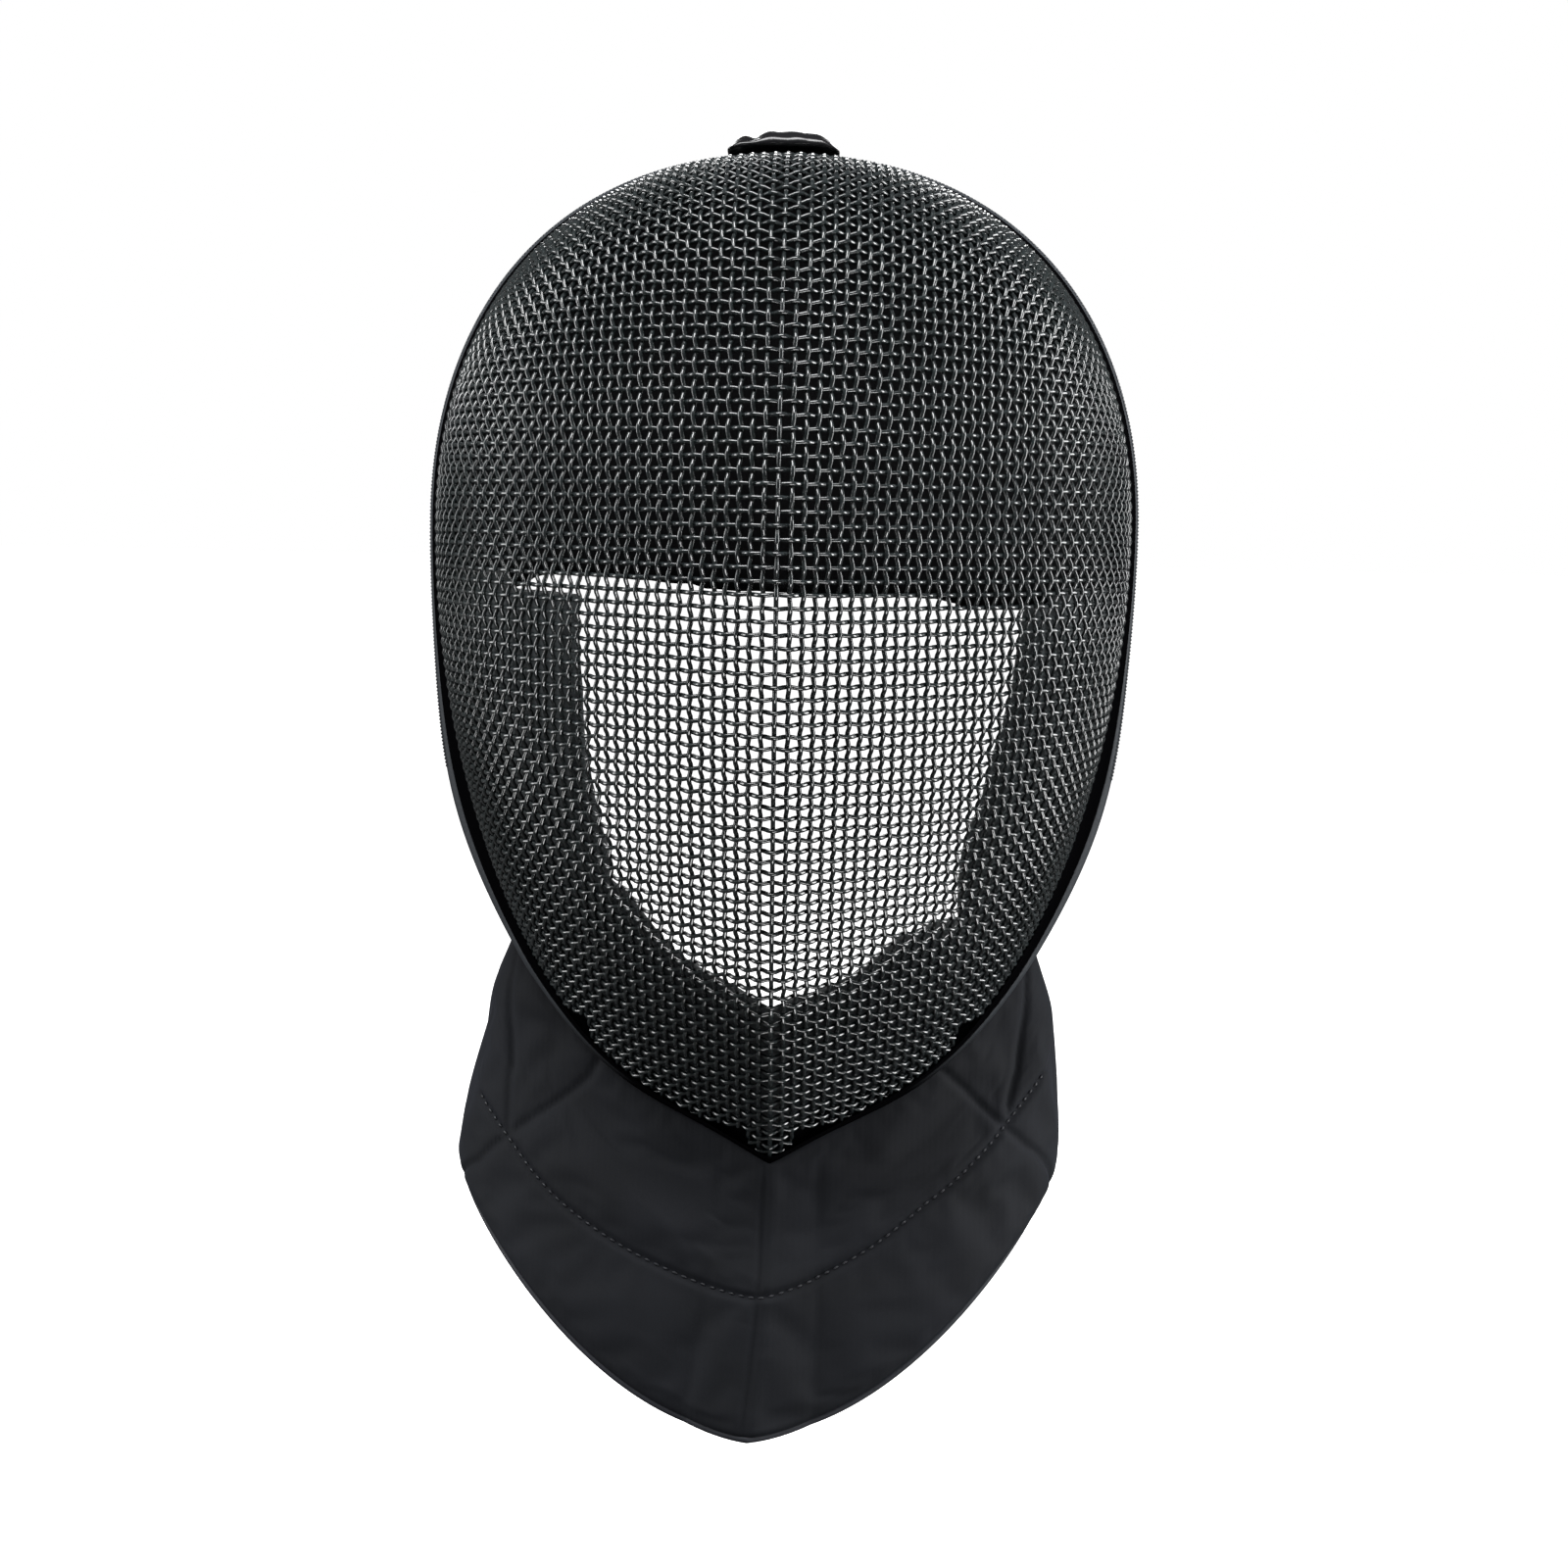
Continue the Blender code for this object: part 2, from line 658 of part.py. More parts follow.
def make_tongue(material):
    """The sleeved spring tongue: fixed under the crown, it leaves over the rim and bends down behind."""
    thick = TONGUE_THICKNESS / 2
    points = []
    for station in range(TONGUE_STATIONS):
        share = station / (TONGUE_STATIONS - 1)
        run = math.sin(share * math.pi / 2) ** TONGUE_SPACING
        y = CROWN_DEPTH - TONGUE_FRONT + (TONGUE_REACH + TONGUE_FRONT) * run
        bend = (y - CROWN_DEPTH - TONGUE_FLAT) / (TONGUE_REACH - TONGUE_FLAT)
        bend = min(max(0.0, bend), 1.0)
        z = TONGUE_TOP - thick - TONGUE_FALL * (1 - math.sqrt(1 - bend**2))
        normal = Vector((0, bend, math.sqrt(1 - bend**2)))
        half = (TONGUE_WIDTH + (TONGUE_TIP_WIDTH - TONGUE_WIDTH) * share) / 2
        if station == TONGUE_STATIONS - 1:
            half *= TONGUE_END_SHARE
        for corner in TONGUE_CORNERS:
            across = Vector((half * corner["across"], 0, 0))
            points.append(Vector((0, y, z)) + across + normal * (thick * corner["lift"]))
    faces = ring_faces(TONGUE_STATIONS, len(TONGUE_CORNERS), False)
    return add_piece("tongue", points, faces, material)


def make_tongue_cover(material):
    """The small stuffed cap over the trim at the crown: a toe on the mesh, a top and a rear flap."""
    mesh_top = CROWN_RISE + HALF_WALL + FIT_GAP - CROWN_DIP / 2
    trim_top = TRIM_TOP + FIT_GAP
    toe = CROWN_DEPTH - COVER_FRONT
    step = CROWN_DEPTH - TRIM_OUTER_LEG - COVER_SLACK
    rear = CROWN_DEPTH + TRIM_SEAT + TRIM_WEB + COVER_SLACK
    flap = TONGUE_TOP + 2 * FIT_GAP
    under = ((toe, mesh_top), (step, mesh_top), (step, trim_top), (rear, trim_top), (rear, flap))
    points = []
    for section in COVER_SECTIONS:
        across = section["across"] * COVER_WIDTH / 2
        puff = section["puff"]
        lift = COVER_THICKNESS * puff
        over = (
            (rear + COVER_FLAP * puff, flap),
            (rear + COVER_FLAP * puff, trim_top),
            (rear - COVER_HEEL_ROUND * COVER_THICKNESS, trim_top + lift),
            (step, trim_top + lift * COVER_STEP_LIFT),
            (toe + COVER_TOE_ROUND * COVER_THICKNESS, mesh_top + lift * COVER_STEP_LIFT),
            (toe - COVER_TOE_BULGE * lift, mesh_top + lift * COVER_TOE_LIFT),
        )
        points.extend(Vector((across, y, z)) for y, z in under + over)
    faces = ring_faces(len(COVER_SECTIONS), len(under) + len(over), False)
    return add_piece("tongue_cover", points, faces, material)


def main():
    clear_scene()
    steel = plain_material("painted_steel_mesh", (0.045, 0.050, 0.052), 0.45, 0.6)
    binding = plain_material("vinyl_trim", (0.060, 0.062, 0.066), 0.55)
    cloth = plain_material("navy_bib_cloth", (0.018, 0.020, 0.028), 0.75)
    lining = plain_material("black_lining", (0.012, 0.012, 0.014), 0.85)
    padding = plain_material("grey_padding", (0.085, 0.087, 0.092), 0.80)
    cap = plain_material("gloss_vinyl", (0.010, 0.010, 0.011), 0.25)
    make_mesh_bowl(steel)
    make_edge_trim(binding)
    make_bib(cloth)
    make_forehead_pad(lining)
    make_cheek_pad("cheek_pad_left", -1, padding)
    make_cheek_pad("cheek_pad_right", 1, padding)
    make_chin_pad(padding)
    make_tongue(lining)
    make_tongue_cover(cap)


main()
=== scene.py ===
import math

import bmesh
import bpy
import numpy as np
from mathutils import Matrix, Vector


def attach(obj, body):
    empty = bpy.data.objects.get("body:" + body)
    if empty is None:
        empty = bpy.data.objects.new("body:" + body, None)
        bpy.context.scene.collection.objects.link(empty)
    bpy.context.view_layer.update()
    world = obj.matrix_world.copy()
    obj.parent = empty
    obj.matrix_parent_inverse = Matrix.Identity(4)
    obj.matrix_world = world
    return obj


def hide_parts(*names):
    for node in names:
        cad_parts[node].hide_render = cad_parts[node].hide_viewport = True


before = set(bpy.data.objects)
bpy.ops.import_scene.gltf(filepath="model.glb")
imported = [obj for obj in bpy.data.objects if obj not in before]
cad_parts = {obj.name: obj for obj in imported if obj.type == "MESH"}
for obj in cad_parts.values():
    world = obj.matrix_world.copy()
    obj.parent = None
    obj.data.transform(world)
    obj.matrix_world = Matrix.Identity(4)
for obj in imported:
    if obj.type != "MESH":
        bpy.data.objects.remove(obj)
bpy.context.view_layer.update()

# Camera: a close view from slightly above, at the photograph's angle. The mask is seen from about 0.6 m,
# so its front looks clearly larger than its sides, and the picture leans a little clockwise.
VIEW_AIM = Vector((0.0017, -0.0120, -0.1503))
VIEW_DISTANCE = 0.615
VIEW_AZIMUTH = math.radians(0.5)
VIEW_ELEVATION = math.radians(6.8)
VIEW_ROLL = math.radians(1.12)
VIEW_LENS = 52.6
SENSOR_WIDTH = 36.0

forward = Vector((
    -math.sin(VIEW_AZIMUTH) * math.cos(VIEW_ELEVATION),
    math.cos(VIEW_AZIMUTH) * math.cos(VIEW_ELEVATION),
    -math.sin(VIEW_ELEVATION),
))
level = Vector((math.cos(VIEW_AZIMUTH), math.sin(VIEW_AZIMUTH), 0.0))
down = forward.cross(level)
rolled_level = level * math.cos(VIEW_ROLL) - down * math.sin(VIEW_ROLL)
rolled_down = down * math.cos(VIEW_ROLL) + level * math.sin(VIEW_ROLL)
turn = Matrix((rolled_level, -rolled_down, -forward)).transposed()
camera_data = bpy.data.cameras.new("photo_camera")
camera_data.lens = VIEW_LENS
camera_data.sensor_width = SENSOR_WIDTH
camera = bpy.data.objects.new("photo_camera", camera_data)
camera.matrix_world = Matrix.Translation(VIEW_AIM - forward * VIEW_DISTANCE) @ turn.to_4x4()
bpy.context.scene.collection.objects.link(camera)
bpy.context.scene.camera = camera


# Mesh bowl: steel wire woven one over, one under, then pressed over a form with a keel down the middle
# and painted black. Pressing shears the weave, so its cells close up towards the edge of the bowl.
WIRE_PITCH = 0.0031
WIRE_RADIUS = 0.00056
WIRE_SIDES = 6
WIRE_STEPS = 3
WEAVE_HEIGHT = 0.00054
BOWL_HALF_WIDTH = 0.0943
CROWN_RISE = 0.0990
CHIN_DROP = 0.1645
CROWN_DEPTH = 0.1120
TEMPLE_DEPTH = 0.1330
CHIN_DEPTH = 0.0840
FOREHEAD_LEAN = 0.0150
FOREHEAD_EASE = 1.5
CROWN_DIP = 0.0035
KEEL_SLOPE = 0.55
KEEL_ROUNDING = 0.0040
KEEL_FADE = 0.45
UPPER_ROUNDNESS = 2.15
LOWER_ROUNDNESS = 1.90
WALL_ROUNDNESS = 2.50
JAW_SWEEP = 2.4
CHIN_POINT = 0.21
CHIN_POINT_SPREAD = 0.35
CHIN_EASE = 1.6
HALF_WALL = 0.0010
APEX = Vector((0.0, -0.1120, -0.0839))
DISC_END = 1.03
SOLVER_STEP = 0.03


def linear(colour):
    """An sRGB hex colour as linear values with alpha 1."""
    parts = [int(colour[i:i + 2], 16) / 255 for i in (1, 3, 5)]
    return tuple(c / 12.92 if c <= 0.04045 else ((c + 0.055) / 1.055) ** 2.4 for c in parts) + (1.0,)


def new_finish(name):
    """A new material, its node tree and its shader."""
    material = bpy.data.materials.new(name)
    material.use_nodes = True
    return material, material.node_tree, material.node_tree.nodes["Principled BSDF"]


def add_node(tree, kind, settings=None, links=None):
    """Adds a node, sets its inputs and properties, and links inputs to other nodes' sockets."""
    node = tree.nodes.new(kind)
    for key, value in (settings or {}).items():
        if isinstance(key, int) or key in [s.name for s in node.inputs]:
            node.inputs[key].default_value = value
        else:
            setattr(node, key, value)
    for key, source in (links or {}).items():
        tree.links.new(source, node.inputs[key])
    return node


def speckled_finish(name, scale, detail, shades, roughness, relief=0.0):
    """A material that runs between two shades with a fine noise on the piece, which also roughens it."""
    material, tree, shader = new_finish(name)
    place = add_node(tree, "ShaderNodeTexCoord")
    speckle = add_node(tree, "ShaderNodeTexNoise", {"Scale": scale, "Detail": detail},
                       {"Vector": place.outputs["Object"]})
    shade = add_node(tree, "ShaderNodeValToRGB", links={"Fac": speckle.outputs["Fac"]})
    for element, colour in zip(shade.color_ramp.elements, shades):
        element.color = linear(colour)
    tree.links.new(shade.outputs["Color"], shader.inputs["Base Color"])
    shader.inputs["Roughness"].default_value = roughness
    if relief:
        bump = add_node(tree, "ShaderNodeBump", {"Strength": relief, "Distance": 0.0002},
                        {"Height": speckle.outputs["Fac"]})
        tree.links.new(bump.outputs["Normal"], shader.inputs["Normal"])
    return material, tree, shader, shade


def add_mesh(name, points, faces, smooth=True):
    """A mesh object at the origin, with its place in its vertices."""
    mesh = bpy.data.meshes.new(name)
    mesh.from_pydata([tuple(p) for p in points], [], faces)
    mesh.update()
    if smooth:
        mesh.shade_smooth()
    piece = bpy.data.objects.new(name, mesh)
    bpy.context.scene.collection.objects.link(piece)
    return piece


def keel_rise(x, height_share):
    """How far the surface falls back beside the keel line, as a rounded V."""
    slope = KEEL_SLOPE * (1 - KEEL_FADE * max(0.0, height_share) ** 2)
    return slope * (math.hypot(x, KEEL_ROUNDING) - KEEL_ROUNDING)


def rim_point(angle):
    """The mesh's cut edge, from the apex: 90 degrees is the crown, 0 the right temple, -90 the chin."""
    across = math.cos(angle)
    up = math.sin(angle)
    side = math.copysign(1.0, across)
    if up >= 0:
        x = BOWL_HALF_WIDTH * abs(across) ** (2 / UPPER_ROUNDNESS)
        z = CROWN_RISE * up ** (2 / UPPER_ROUNDNESS)
        y = TEMPLE_DEPTH + (CROWN_DEPTH - TEMPLE_DEPTH) * (z / CROWN_RISE) ** 2
    else:
        x = BOWL_HALF_WIDTH * abs(across) ** (2 / LOWER_ROUNDNESS)
        drop = max(0.0, -up - CHIN_POINT * abs(across) * math.exp(-((across / CHIN_POINT_SPREAD) ** 2)))
        z = -CHIN_DROP * drop
        y = TEMPLE_DEPTH + (CHIN_DEPTH - TEMPLE_DEPTH) * drop**JAW_SWEEP
    return Vector((side * x, y, z))


def bowl_point(angle, share):
    """The middle of the mesh, from the apex at share 0 to the rim at share 1."""
    rim = rim_point(angle)
    x = share * rim.x
    z = share * rim.z
    if rim.z >= 0:
        height = rim.z / CROWN_RISE
        spine = FOREHEAD_LEAN * height**2
        spine_here = spine * share**FOREHEAD_EASE
        z -= CROWN_DIP * height**4 * share**30
    else:
        height = rim.z / CHIN_DROP
        spine = CHIN_DEPTH * height**2
        spine_here = spine * share**CHIN_EASE
    rim_fall = rim.y - spine - keel_rise(rim.x, height)
    wall = 1 - (1 - min(share, 1.0) ** WALL_ROUNDNESS) ** (1 / WALL_ROUNDNESS)
    return Vector((x, spine_here + keel_rise(x, height * share) + rim_fall * wall, z))


def disc_point(place):
    """The bowl over an even flat disc whose edge, at radius 1, is the rim. A solver can step across it."""
    radius = math.hypot(place[0], place[1])
    angle = math.atan2(place[1], place[0])
    if radius <= 1:
        share = (1 - (1 - radius**WALL_ROUNDNESS) ** WALL_ROUNDNESS) ** (1 / WALL_ROUNDNESS)
        return np.array(bowl_point(angle, share))
    short = 0.999
    share = (1 - (1 - short**WALL_ROUNDNESS) ** WALL_ROUNDNESS) ** (1 / WALL_ROUNDNESS)
    edge = np.array(bowl_point(angle, 1.0))
    return edge + (edge - np.array(bowl_point(angle, share))) / (1 - short) * (radius - 1)


def paced_line(direction):
    """Places one wire pitch apart along a straight line of the disc, from the apex past the rim."""
    places = [np.zeros(2)]
    last = disc_point(places[0])
    radius = 0.0
    while radius < DISC_END:
        low, high = radius, radius + 0.15
        for _ in range(40):
            middle = (low + high) / 2
            if np.linalg.norm(disc_point(direction * middle) - last) < WIRE_PITCH:
                low = middle
            else:
                high = middle
        radius = (low + high) / 2
        places.append(direction * radius)
        last = disc_point(places[-1])
    return places


def crossing_beyond(first, second, guess):
    """The place that lies one wire pitch from two neighbours, or None where the weave can't reach."""
    near = disc_point(first)
    far = disc_point(second)
    place = np.array(guess, float)
    for _ in range(25):
        here = disc_point(place)
        miss = np.array((np.linalg.norm(here - near), np.linalg.norm(here - far))) - WIRE_PITCH
        if np.abs(miss).max() < 1e-8:
            return place
        slopes = np.empty((2, 2))
        for axis in range(2):
            moved = place.copy()
            moved[axis] += 1e-6
            there = disc_point(moved)
            gap = np.array((np.linalg.norm(there - near), np.linalg.norm(there - far))) - WIRE_PITCH
            slopes[:, axis] = (gap - miss) / 1e-6
        step = np.linalg.lstsq(slopes, -miss, rcond=None)[0]
        place = place + step * min(1.0, SOLVER_STEP / max(np.linalg.norm(step), 1e-12))
    return None


def woven_crossings():
    """Every crossing of the weave on the disc: column i counts wires from the keel, row j from the apex."""
    sideways = paced_line(np.array((1.0, 0.0)))
    found = {(i, 0): place for i, place in enumerate(sideways)}
    for sign in (1, -1):
        for j, place in enumerate(paced_line(np.array((0.0, float(sign))))):
            found[0, sign * j] = place
        rows = max(abs(key[1]) for key in found if key[1] * sign > 0)
        for i in range(1, len(sideways)):
            for j in range(1, rows + 1):
                first = found.get((i - 1, sign * j))
                second = found.get((i, sign * (j - 1)))
                corner = found.get((i - 1, sign * (j - 1)))
                if first is None or second is None or corner is None:
                    continue
                if math.hypot(*first) > DISC_END and math.hypot(*second) > DISC_END:
                    continue
                place = crossing_beyond(first, second, first + second - corner)
                if place is not None:
                    found[i, sign * j] = place
    for i, j in list(found):
        found[-i, j] = found[i, j] * (-1, 1)
    return found


crossings = woven_crossings()
crossing_points = {key: Vector(disc_point(place)) for key, place in crossings.items()}
crossing_radius = {key: math.hypot(*place) for key, place in crossings.items()}


def crossing_normal(key):
    """Outward normal of the mesh at a crossing, from its neighbours."""
    i, j = key
    here = crossing_points[key]
    sideways = crossing_points.get((i + 1, j), here) - crossing_points.get((i - 1, j), here)
    upwards = crossing_points.get((i, j + 1), here) - crossing_points.get((i, j - 1), here)
    normal = sideways.cross(upwards)
    return normal.normalized() if normal.length > 1e-12 else Vector((0, -1, 0))


crossing_normals = {key: crossing_normal(key) for key in crossing_points}


def cut_end(key, upright, way):
    """Where a wire is cut at the rim, one part of a pitch past its last crossing."""
    beyond = (key[0], key[1] + way) if upright else (key[0] + way, key[1])
    if beyond not in crossing_points or crossing_radius[beyond] <= 1:
        return []
    share = (1 - crossing_radius[key]) / (crossing_radius[beyond] - crossing_radius[key])
    sign = 1 if (key[0] + key[1]) % 2 == 0 else -1
    lift = WEAVE_HEIGHT * sign * (1 if upright else -1) * math.cos(math.pi * share)
    place = crossing_points[key].lerp(crossing_points[beyond], share)
    return [place + crossing_normals[key] * lift + APEX]


def wire_lines(upright, keep):
    """Centre lines of the wires of one direction, each waving over and under the other direction's wires."""
    lines = []
    for number in sorted({key[0] if upright else key[1] for key in crossing_points}):
        if not keep(number):
            continue
        keys = sorted(key for key in crossing_points if key[0 if upright else 1] == number)
        runs = []
        for key in keys:
            step = key[1] if upright else key[0]
            if crossing_radius[key] > 1:
                continue
            if runs and step == runs[-1][-1][0] + 1:
                runs[-1].append((step, key))
            else:
                runs.append([(step, key)])
        for run in runs:
            if len(run) < 2:
                continue
            line = []
            for (_, key), (_, following) in zip(run, run[1:] + [run[-1]]):
                sign = 1 if (key[0] + key[1]) % 2 == 0 else -1
                lift = WEAVE_HEIGHT * sign * (1 if upright else -1)
                if key == following:
                    line.append(crossing_points[key] + crossing_normals[key] * lift + APEX)
                    break
                for part in range(WIRE_STEPS):
                    t = part / WIRE_STEPS
                    place = crossing_points[key].lerp(crossing_points[following], t)
                    normal = crossing_normals[key].lerp(crossing_normals[following], t)
                    line.append(place + normal * (lift * math.cos(math.pi * t)) + APEX)
            line[:0] = cut_end(run[0][1], upright, -1)
            line.extend(cut_end(run[-1][1], upright, 1))
            lines.append(line)
    return lines


def round_line_tree(name, material):
    """Geometry Nodes: centre lines become round rods of a named radius."""
    tree = bpy.data.node_groups.new(name, "GeometryNodeTree")
    tree.interface.new_socket("Geometry", in_out="INPUT", socket_type="NodeSocketGeometry")
    tree.interface.new_socket("Rod radius", in_out="INPUT", socket_type="NodeSocketFloat")
    tree.interface.new_socket("Rod sides", in_out="INPUT", socket_type="NodeSocketInt")
    tree.interface.new_socket("Geometry", in_out="OUTPUT", socket_type="NodeSocketGeometry")
    given = add_node(tree, "NodeGroupInput")
    lines = add_node(tree, "GeometryNodeMeshToCurve", links={"Mesh": given.outputs["Geometry"]})
    ring = add_node(tree, "GeometryNodeCurvePrimitiveCircle", links={
        "Resolution": given.outputs["Rod sides"], "Radius": given.outputs["Rod radius"]})
    rods = add_node(tree, "GeometryNodeCurveToMesh", {"Fill Caps": True}, {
        "Curve": lines.outputs["Curve"], "Profile Curve": ring.outputs["Curve"]})
    smooth = add_node(tree, "GeometryNodeSetShadeSmooth", links={"Geometry": rods.outputs["Mesh"]})
    real = add_node(tree, "GeometryNodeRealizeInstances", links={"Geometry": smooth.outputs["Geometry"]})
    dressed = add_node(tree, "GeometryNodeSetMaterial", {"Material": material},
                       {"Geometry": real.outputs["Geometry"]})
    add_node(tree, "NodeGroupOutput", links={"Geometry": dressed.outputs["Geometry"]})
    return tree


def made_from_lines(tree, name, lines, inputs):
    """Runs a tree on a set of lines and returns the result as a plain mesh object at the origin."""
    points = []
    edges = []
    for line in lines:
        start = len(points)
        points.extend(tuple(p) for p in line)
        edges.extend((start + k, start + k + 1) for k in range(len(line) - 1))
    guide_mesh = bpy.data.meshes.new(name + "_lines")
    guide_mesh.from_pydata(points, edges, [])
    guide = bpy.data.objects.new(name + "_guide", guide_mesh)
    bpy.context.scene.collection.objects.link(guide)
    modifier = guide.modifiers.new(name, "NODES")
    modifier.node_group = tree
    for item in tree.interface.items_tree:
        if item.in_out == "INPUT" and item.name in inputs:
            modifier[item.identifier] = inputs[item.name]
    result = bpy.data.meshes.new_from_object(guide.evaluated_get(bpy.context.evaluated_depsgraph_get()))
    result.name = name
    piece = bpy.data.objects.new(name, result)
    bpy.context.scene.collection.objects.link(piece)
    bpy.data.objects.remove(guide, do_unlink=True)
    return piece


# Baked black enamel on steel wire: a dark coat with a fine orange-peel grain, whose crests catch the lamps.
wire_enamel, tree, shader, shade = speckled_finish(
    "baked_wire_enamel", 900.0, 3.0, ("#131718", "#232A2B"), 0.24)
shade.color_ramp.elements[0].position = 0.35
shade.color_ramp.elements[1].position = 0.70
shader.inputs["Coat Weight"].default_value = 0.60
shader.inputs["Coat Roughness"].default_value = 0.12

wire_maker = round_line_tree("woven_wire", wire_enamel)
for name, upright, keep in (
    ("upright_wires_left", True, lambda n: n < 0),
    ("upright_wires_right", True, lambda n: n >= 0),
    ("level_wires_upper", False, lambda n: n >= 0),
    ("level_wires_lower", False, lambda n: n < 0),
):
    wires = made_from_lines(wire_maker, name, wire_lines(upright, keep),
                            {"Rod radius": WIRE_RADIUS, "Rod sides": WIRE_SIDES})
    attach(wires, "root")
    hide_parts("mesh_bowl")


# Edge binding: a folded strip of ribbed tape stitched over the cut edge of the mesh. Its front edge is tucked
# down on the mesh as a narrow groove, whose black is painted shade. It stands proud at the jaw corners and
# thins towards the chin.
FIT_GAP = 0.0003
TRIM_SEAT = 0.0007
TRIM_OUTER = 0.0025
TRIM_INNER = 0.0020
TRIM_WEB = 0.0024
TRIM_OUTER_LEG = 0.0120
TRIM_INNER_LEG = 0.0080
TRIM_CHIN_LEG = 0.0050
TRIM_CHIN_THINNING = 0.85
FOLD_CHIN_THINNING = 0.75
TRIM_THIN_FROM = 0.72
TRIM_THIN_TO = 0.97
TRIM_MOUTH = 0.0006
JAW_FLARE = 0.0031
JAW_DROP_SHARE = 0.46
JAW_SPREAD_SHARE = 0.22
TUCK_HEIGHTS = (0.10, 0.14)
SHOULDER_HEIGHTS = (0.62, 0.84)
SHOULDER_REACHES = (1.15, 1.6)
TRIM_STATIONS = 420
TUCK_WIDTH = 0.0013
TUCK_SHARE = 0.28
RIM_STEP = 0.015
RIM_TURN = 0.010
RIB_SPACING = 0.0010
RIB_RADIUS = 0.00028
RIB_END_DROP = 0.40


def faced_outwards(piece):
    """Turns a closed body's faces outwards."""
    body = bmesh.new()
    body.from_mesh(piece.data)
    bmesh.ops.recalc_face_normals(body, faces=body.faces)
    if body.calc_volume(signed=True) < 0:
        bmesh.ops.reverse_faces(body, faces=body.faces)
    body.to_mesh(piece.data)
    body.free()


def rim_frame(angle):
    """At the rim: its point, the direction out of the wall, and the direction that leaves the bowl."""
    point = bowl_point(angle, 1.0)
    back = (point - bowl_point(angle, 1.0 - RIM_STEP)).normalized()
    around = (bowl_point(angle + RIM_TURN, 1.0) - bowl_point(angle - RIM_TURN, 1.0)).normalized()
    out = back.cross(around).normalized()
    return point, out, around.cross(out).normalized()


def chin_thinning(angle):
    """How far the binding has thinned towards the chin, from 0 at the jaws to 1."""
    drop = max(0.0, -rim_point(angle).z / CHIN_DROP)
    return min(1.0, max(0.0, (drop - TRIM_THIN_FROM) / (TRIM_THIN_TO - TRIM_THIN_FROM)))


def web_depth(angle):
    """How far the binding's fold reaches past the mesh's cut edge."""
    return TRIM_SEAT + TRIM_WEB * (1 - FOLD_CHIN_THINNING * chin_thinning(angle))


def binding_section(angle):
    """Corners of the binding's fold in (out, back): the tucked edge comes first."""
    drop = max(0.0, -rim_point(angle).z / CHIN_DROP)
    flare = JAW_FLARE * math.exp(-(((drop - JAW_DROP_SHARE) / JAW_SPREAD_SHARE) ** 2))
    clear = HALF_WALL + FIT_GAP
    outer = clear + (TRIM_OUTER + flare) * (1 - TRIM_CHIN_THINNING * chin_thinning(angle))
    inner = clear + TRIM_INNER
    leg = TRIM_OUTER_LEG + (TRIM_CHIN_LEG - TRIM_OUTER_LEG) * drop**2
    leg *= 1 - FOLD_CHIN_THINNING * chin_thinning(angle)
    tuck = min(TUCK_WIDTH, TUCK_SHARE * leg)
    inner_leg = TRIM_INNER_LEG + (TRIM_CHIN_LEG - TRIM_INNER_LEG) * drop**2
    web = web_depth(angle)
    return (
        (clear, -leg),
        (clear + TUCK_HEIGHTS[0] * TRIM_OUTER, -leg),
        (clear + TUCK_HEIGHTS[1] * TRIM_OUTER, -leg + tuck),
        (clear + SHOULDER_HEIGHTS[0] * (outer - clear), -leg + SHOULDER_REACHES[0] * tuck),
        (clear + SHOULDER_HEIGHTS[1] * (outer - clear), -leg + SHOULDER_REACHES[1] * tuck),
        (outer, -leg * 0.55),
        (outer, -leg * 0.25),
        (outer, web * 0.40),
        (clear + 0.72 * (outer - clear), web * 0.90),
        (clear, web),
        (-clear, web),
        (-inner, web * 0.60),
        (-inner, -inner_leg * 0.5),
        (-inner, -inner_leg),
        (-clear - TRIM_MOUTH, -inner_leg),
        (-clear, TRIM_SEAT),
        (clear, TRIM_SEAT),
    )


def even_rim_angles(count):
    """Rim angles whose points are evenly spaced, and the rim's whole length."""
    fine = np.linspace(math.pi / 2, -math.pi * 3 / 2, 2881)
    points = np.array([rim_point(a) for a in fine])
    run = np.concatenate(([0.0], np.cumsum(np.linalg.norm(np.diff(points, axis=0), axis=1))))
    return np.interp(np.linspace(0, run[-1], count + 1), run, fine)[:-1], run[-1]


trim_angles, rim_length = even_rim_angles(TRIM_STATIONS)
points = []
for angle in trim_angles:
    place, out, back = rim_frame(angle)
    section = binding_section(angle)
    points.extend(place + out * n + back * b + APEX for n, b in section)
corners = len(section)
faces = []
coordinates = []
for s in range(TRIM_STATIONS):
    t = (s + 1) % TRIM_STATIONS
    low = rim_length * s / TRIM_STATIONS
    high = rim_length * (s + 1) / TRIM_STATIONS
    for c in range(corners):
        d = (c + 1) % corners
        faces.append((s * corners + c, s * corners + d, t * corners + d, t * corners + c))
        coordinates.extend(((low, c), (low, c + 1), (high, c + 1), (high, c)))
edge_binding = add_mesh("edge_binding", points, faces)
layer = edge_binding.data.uv_layers.new(name="along_and_corner")
layer.data.foreach_set("uv", np.array(coordinates, np.float32).ravel())
faced_outwards(edge_binding)
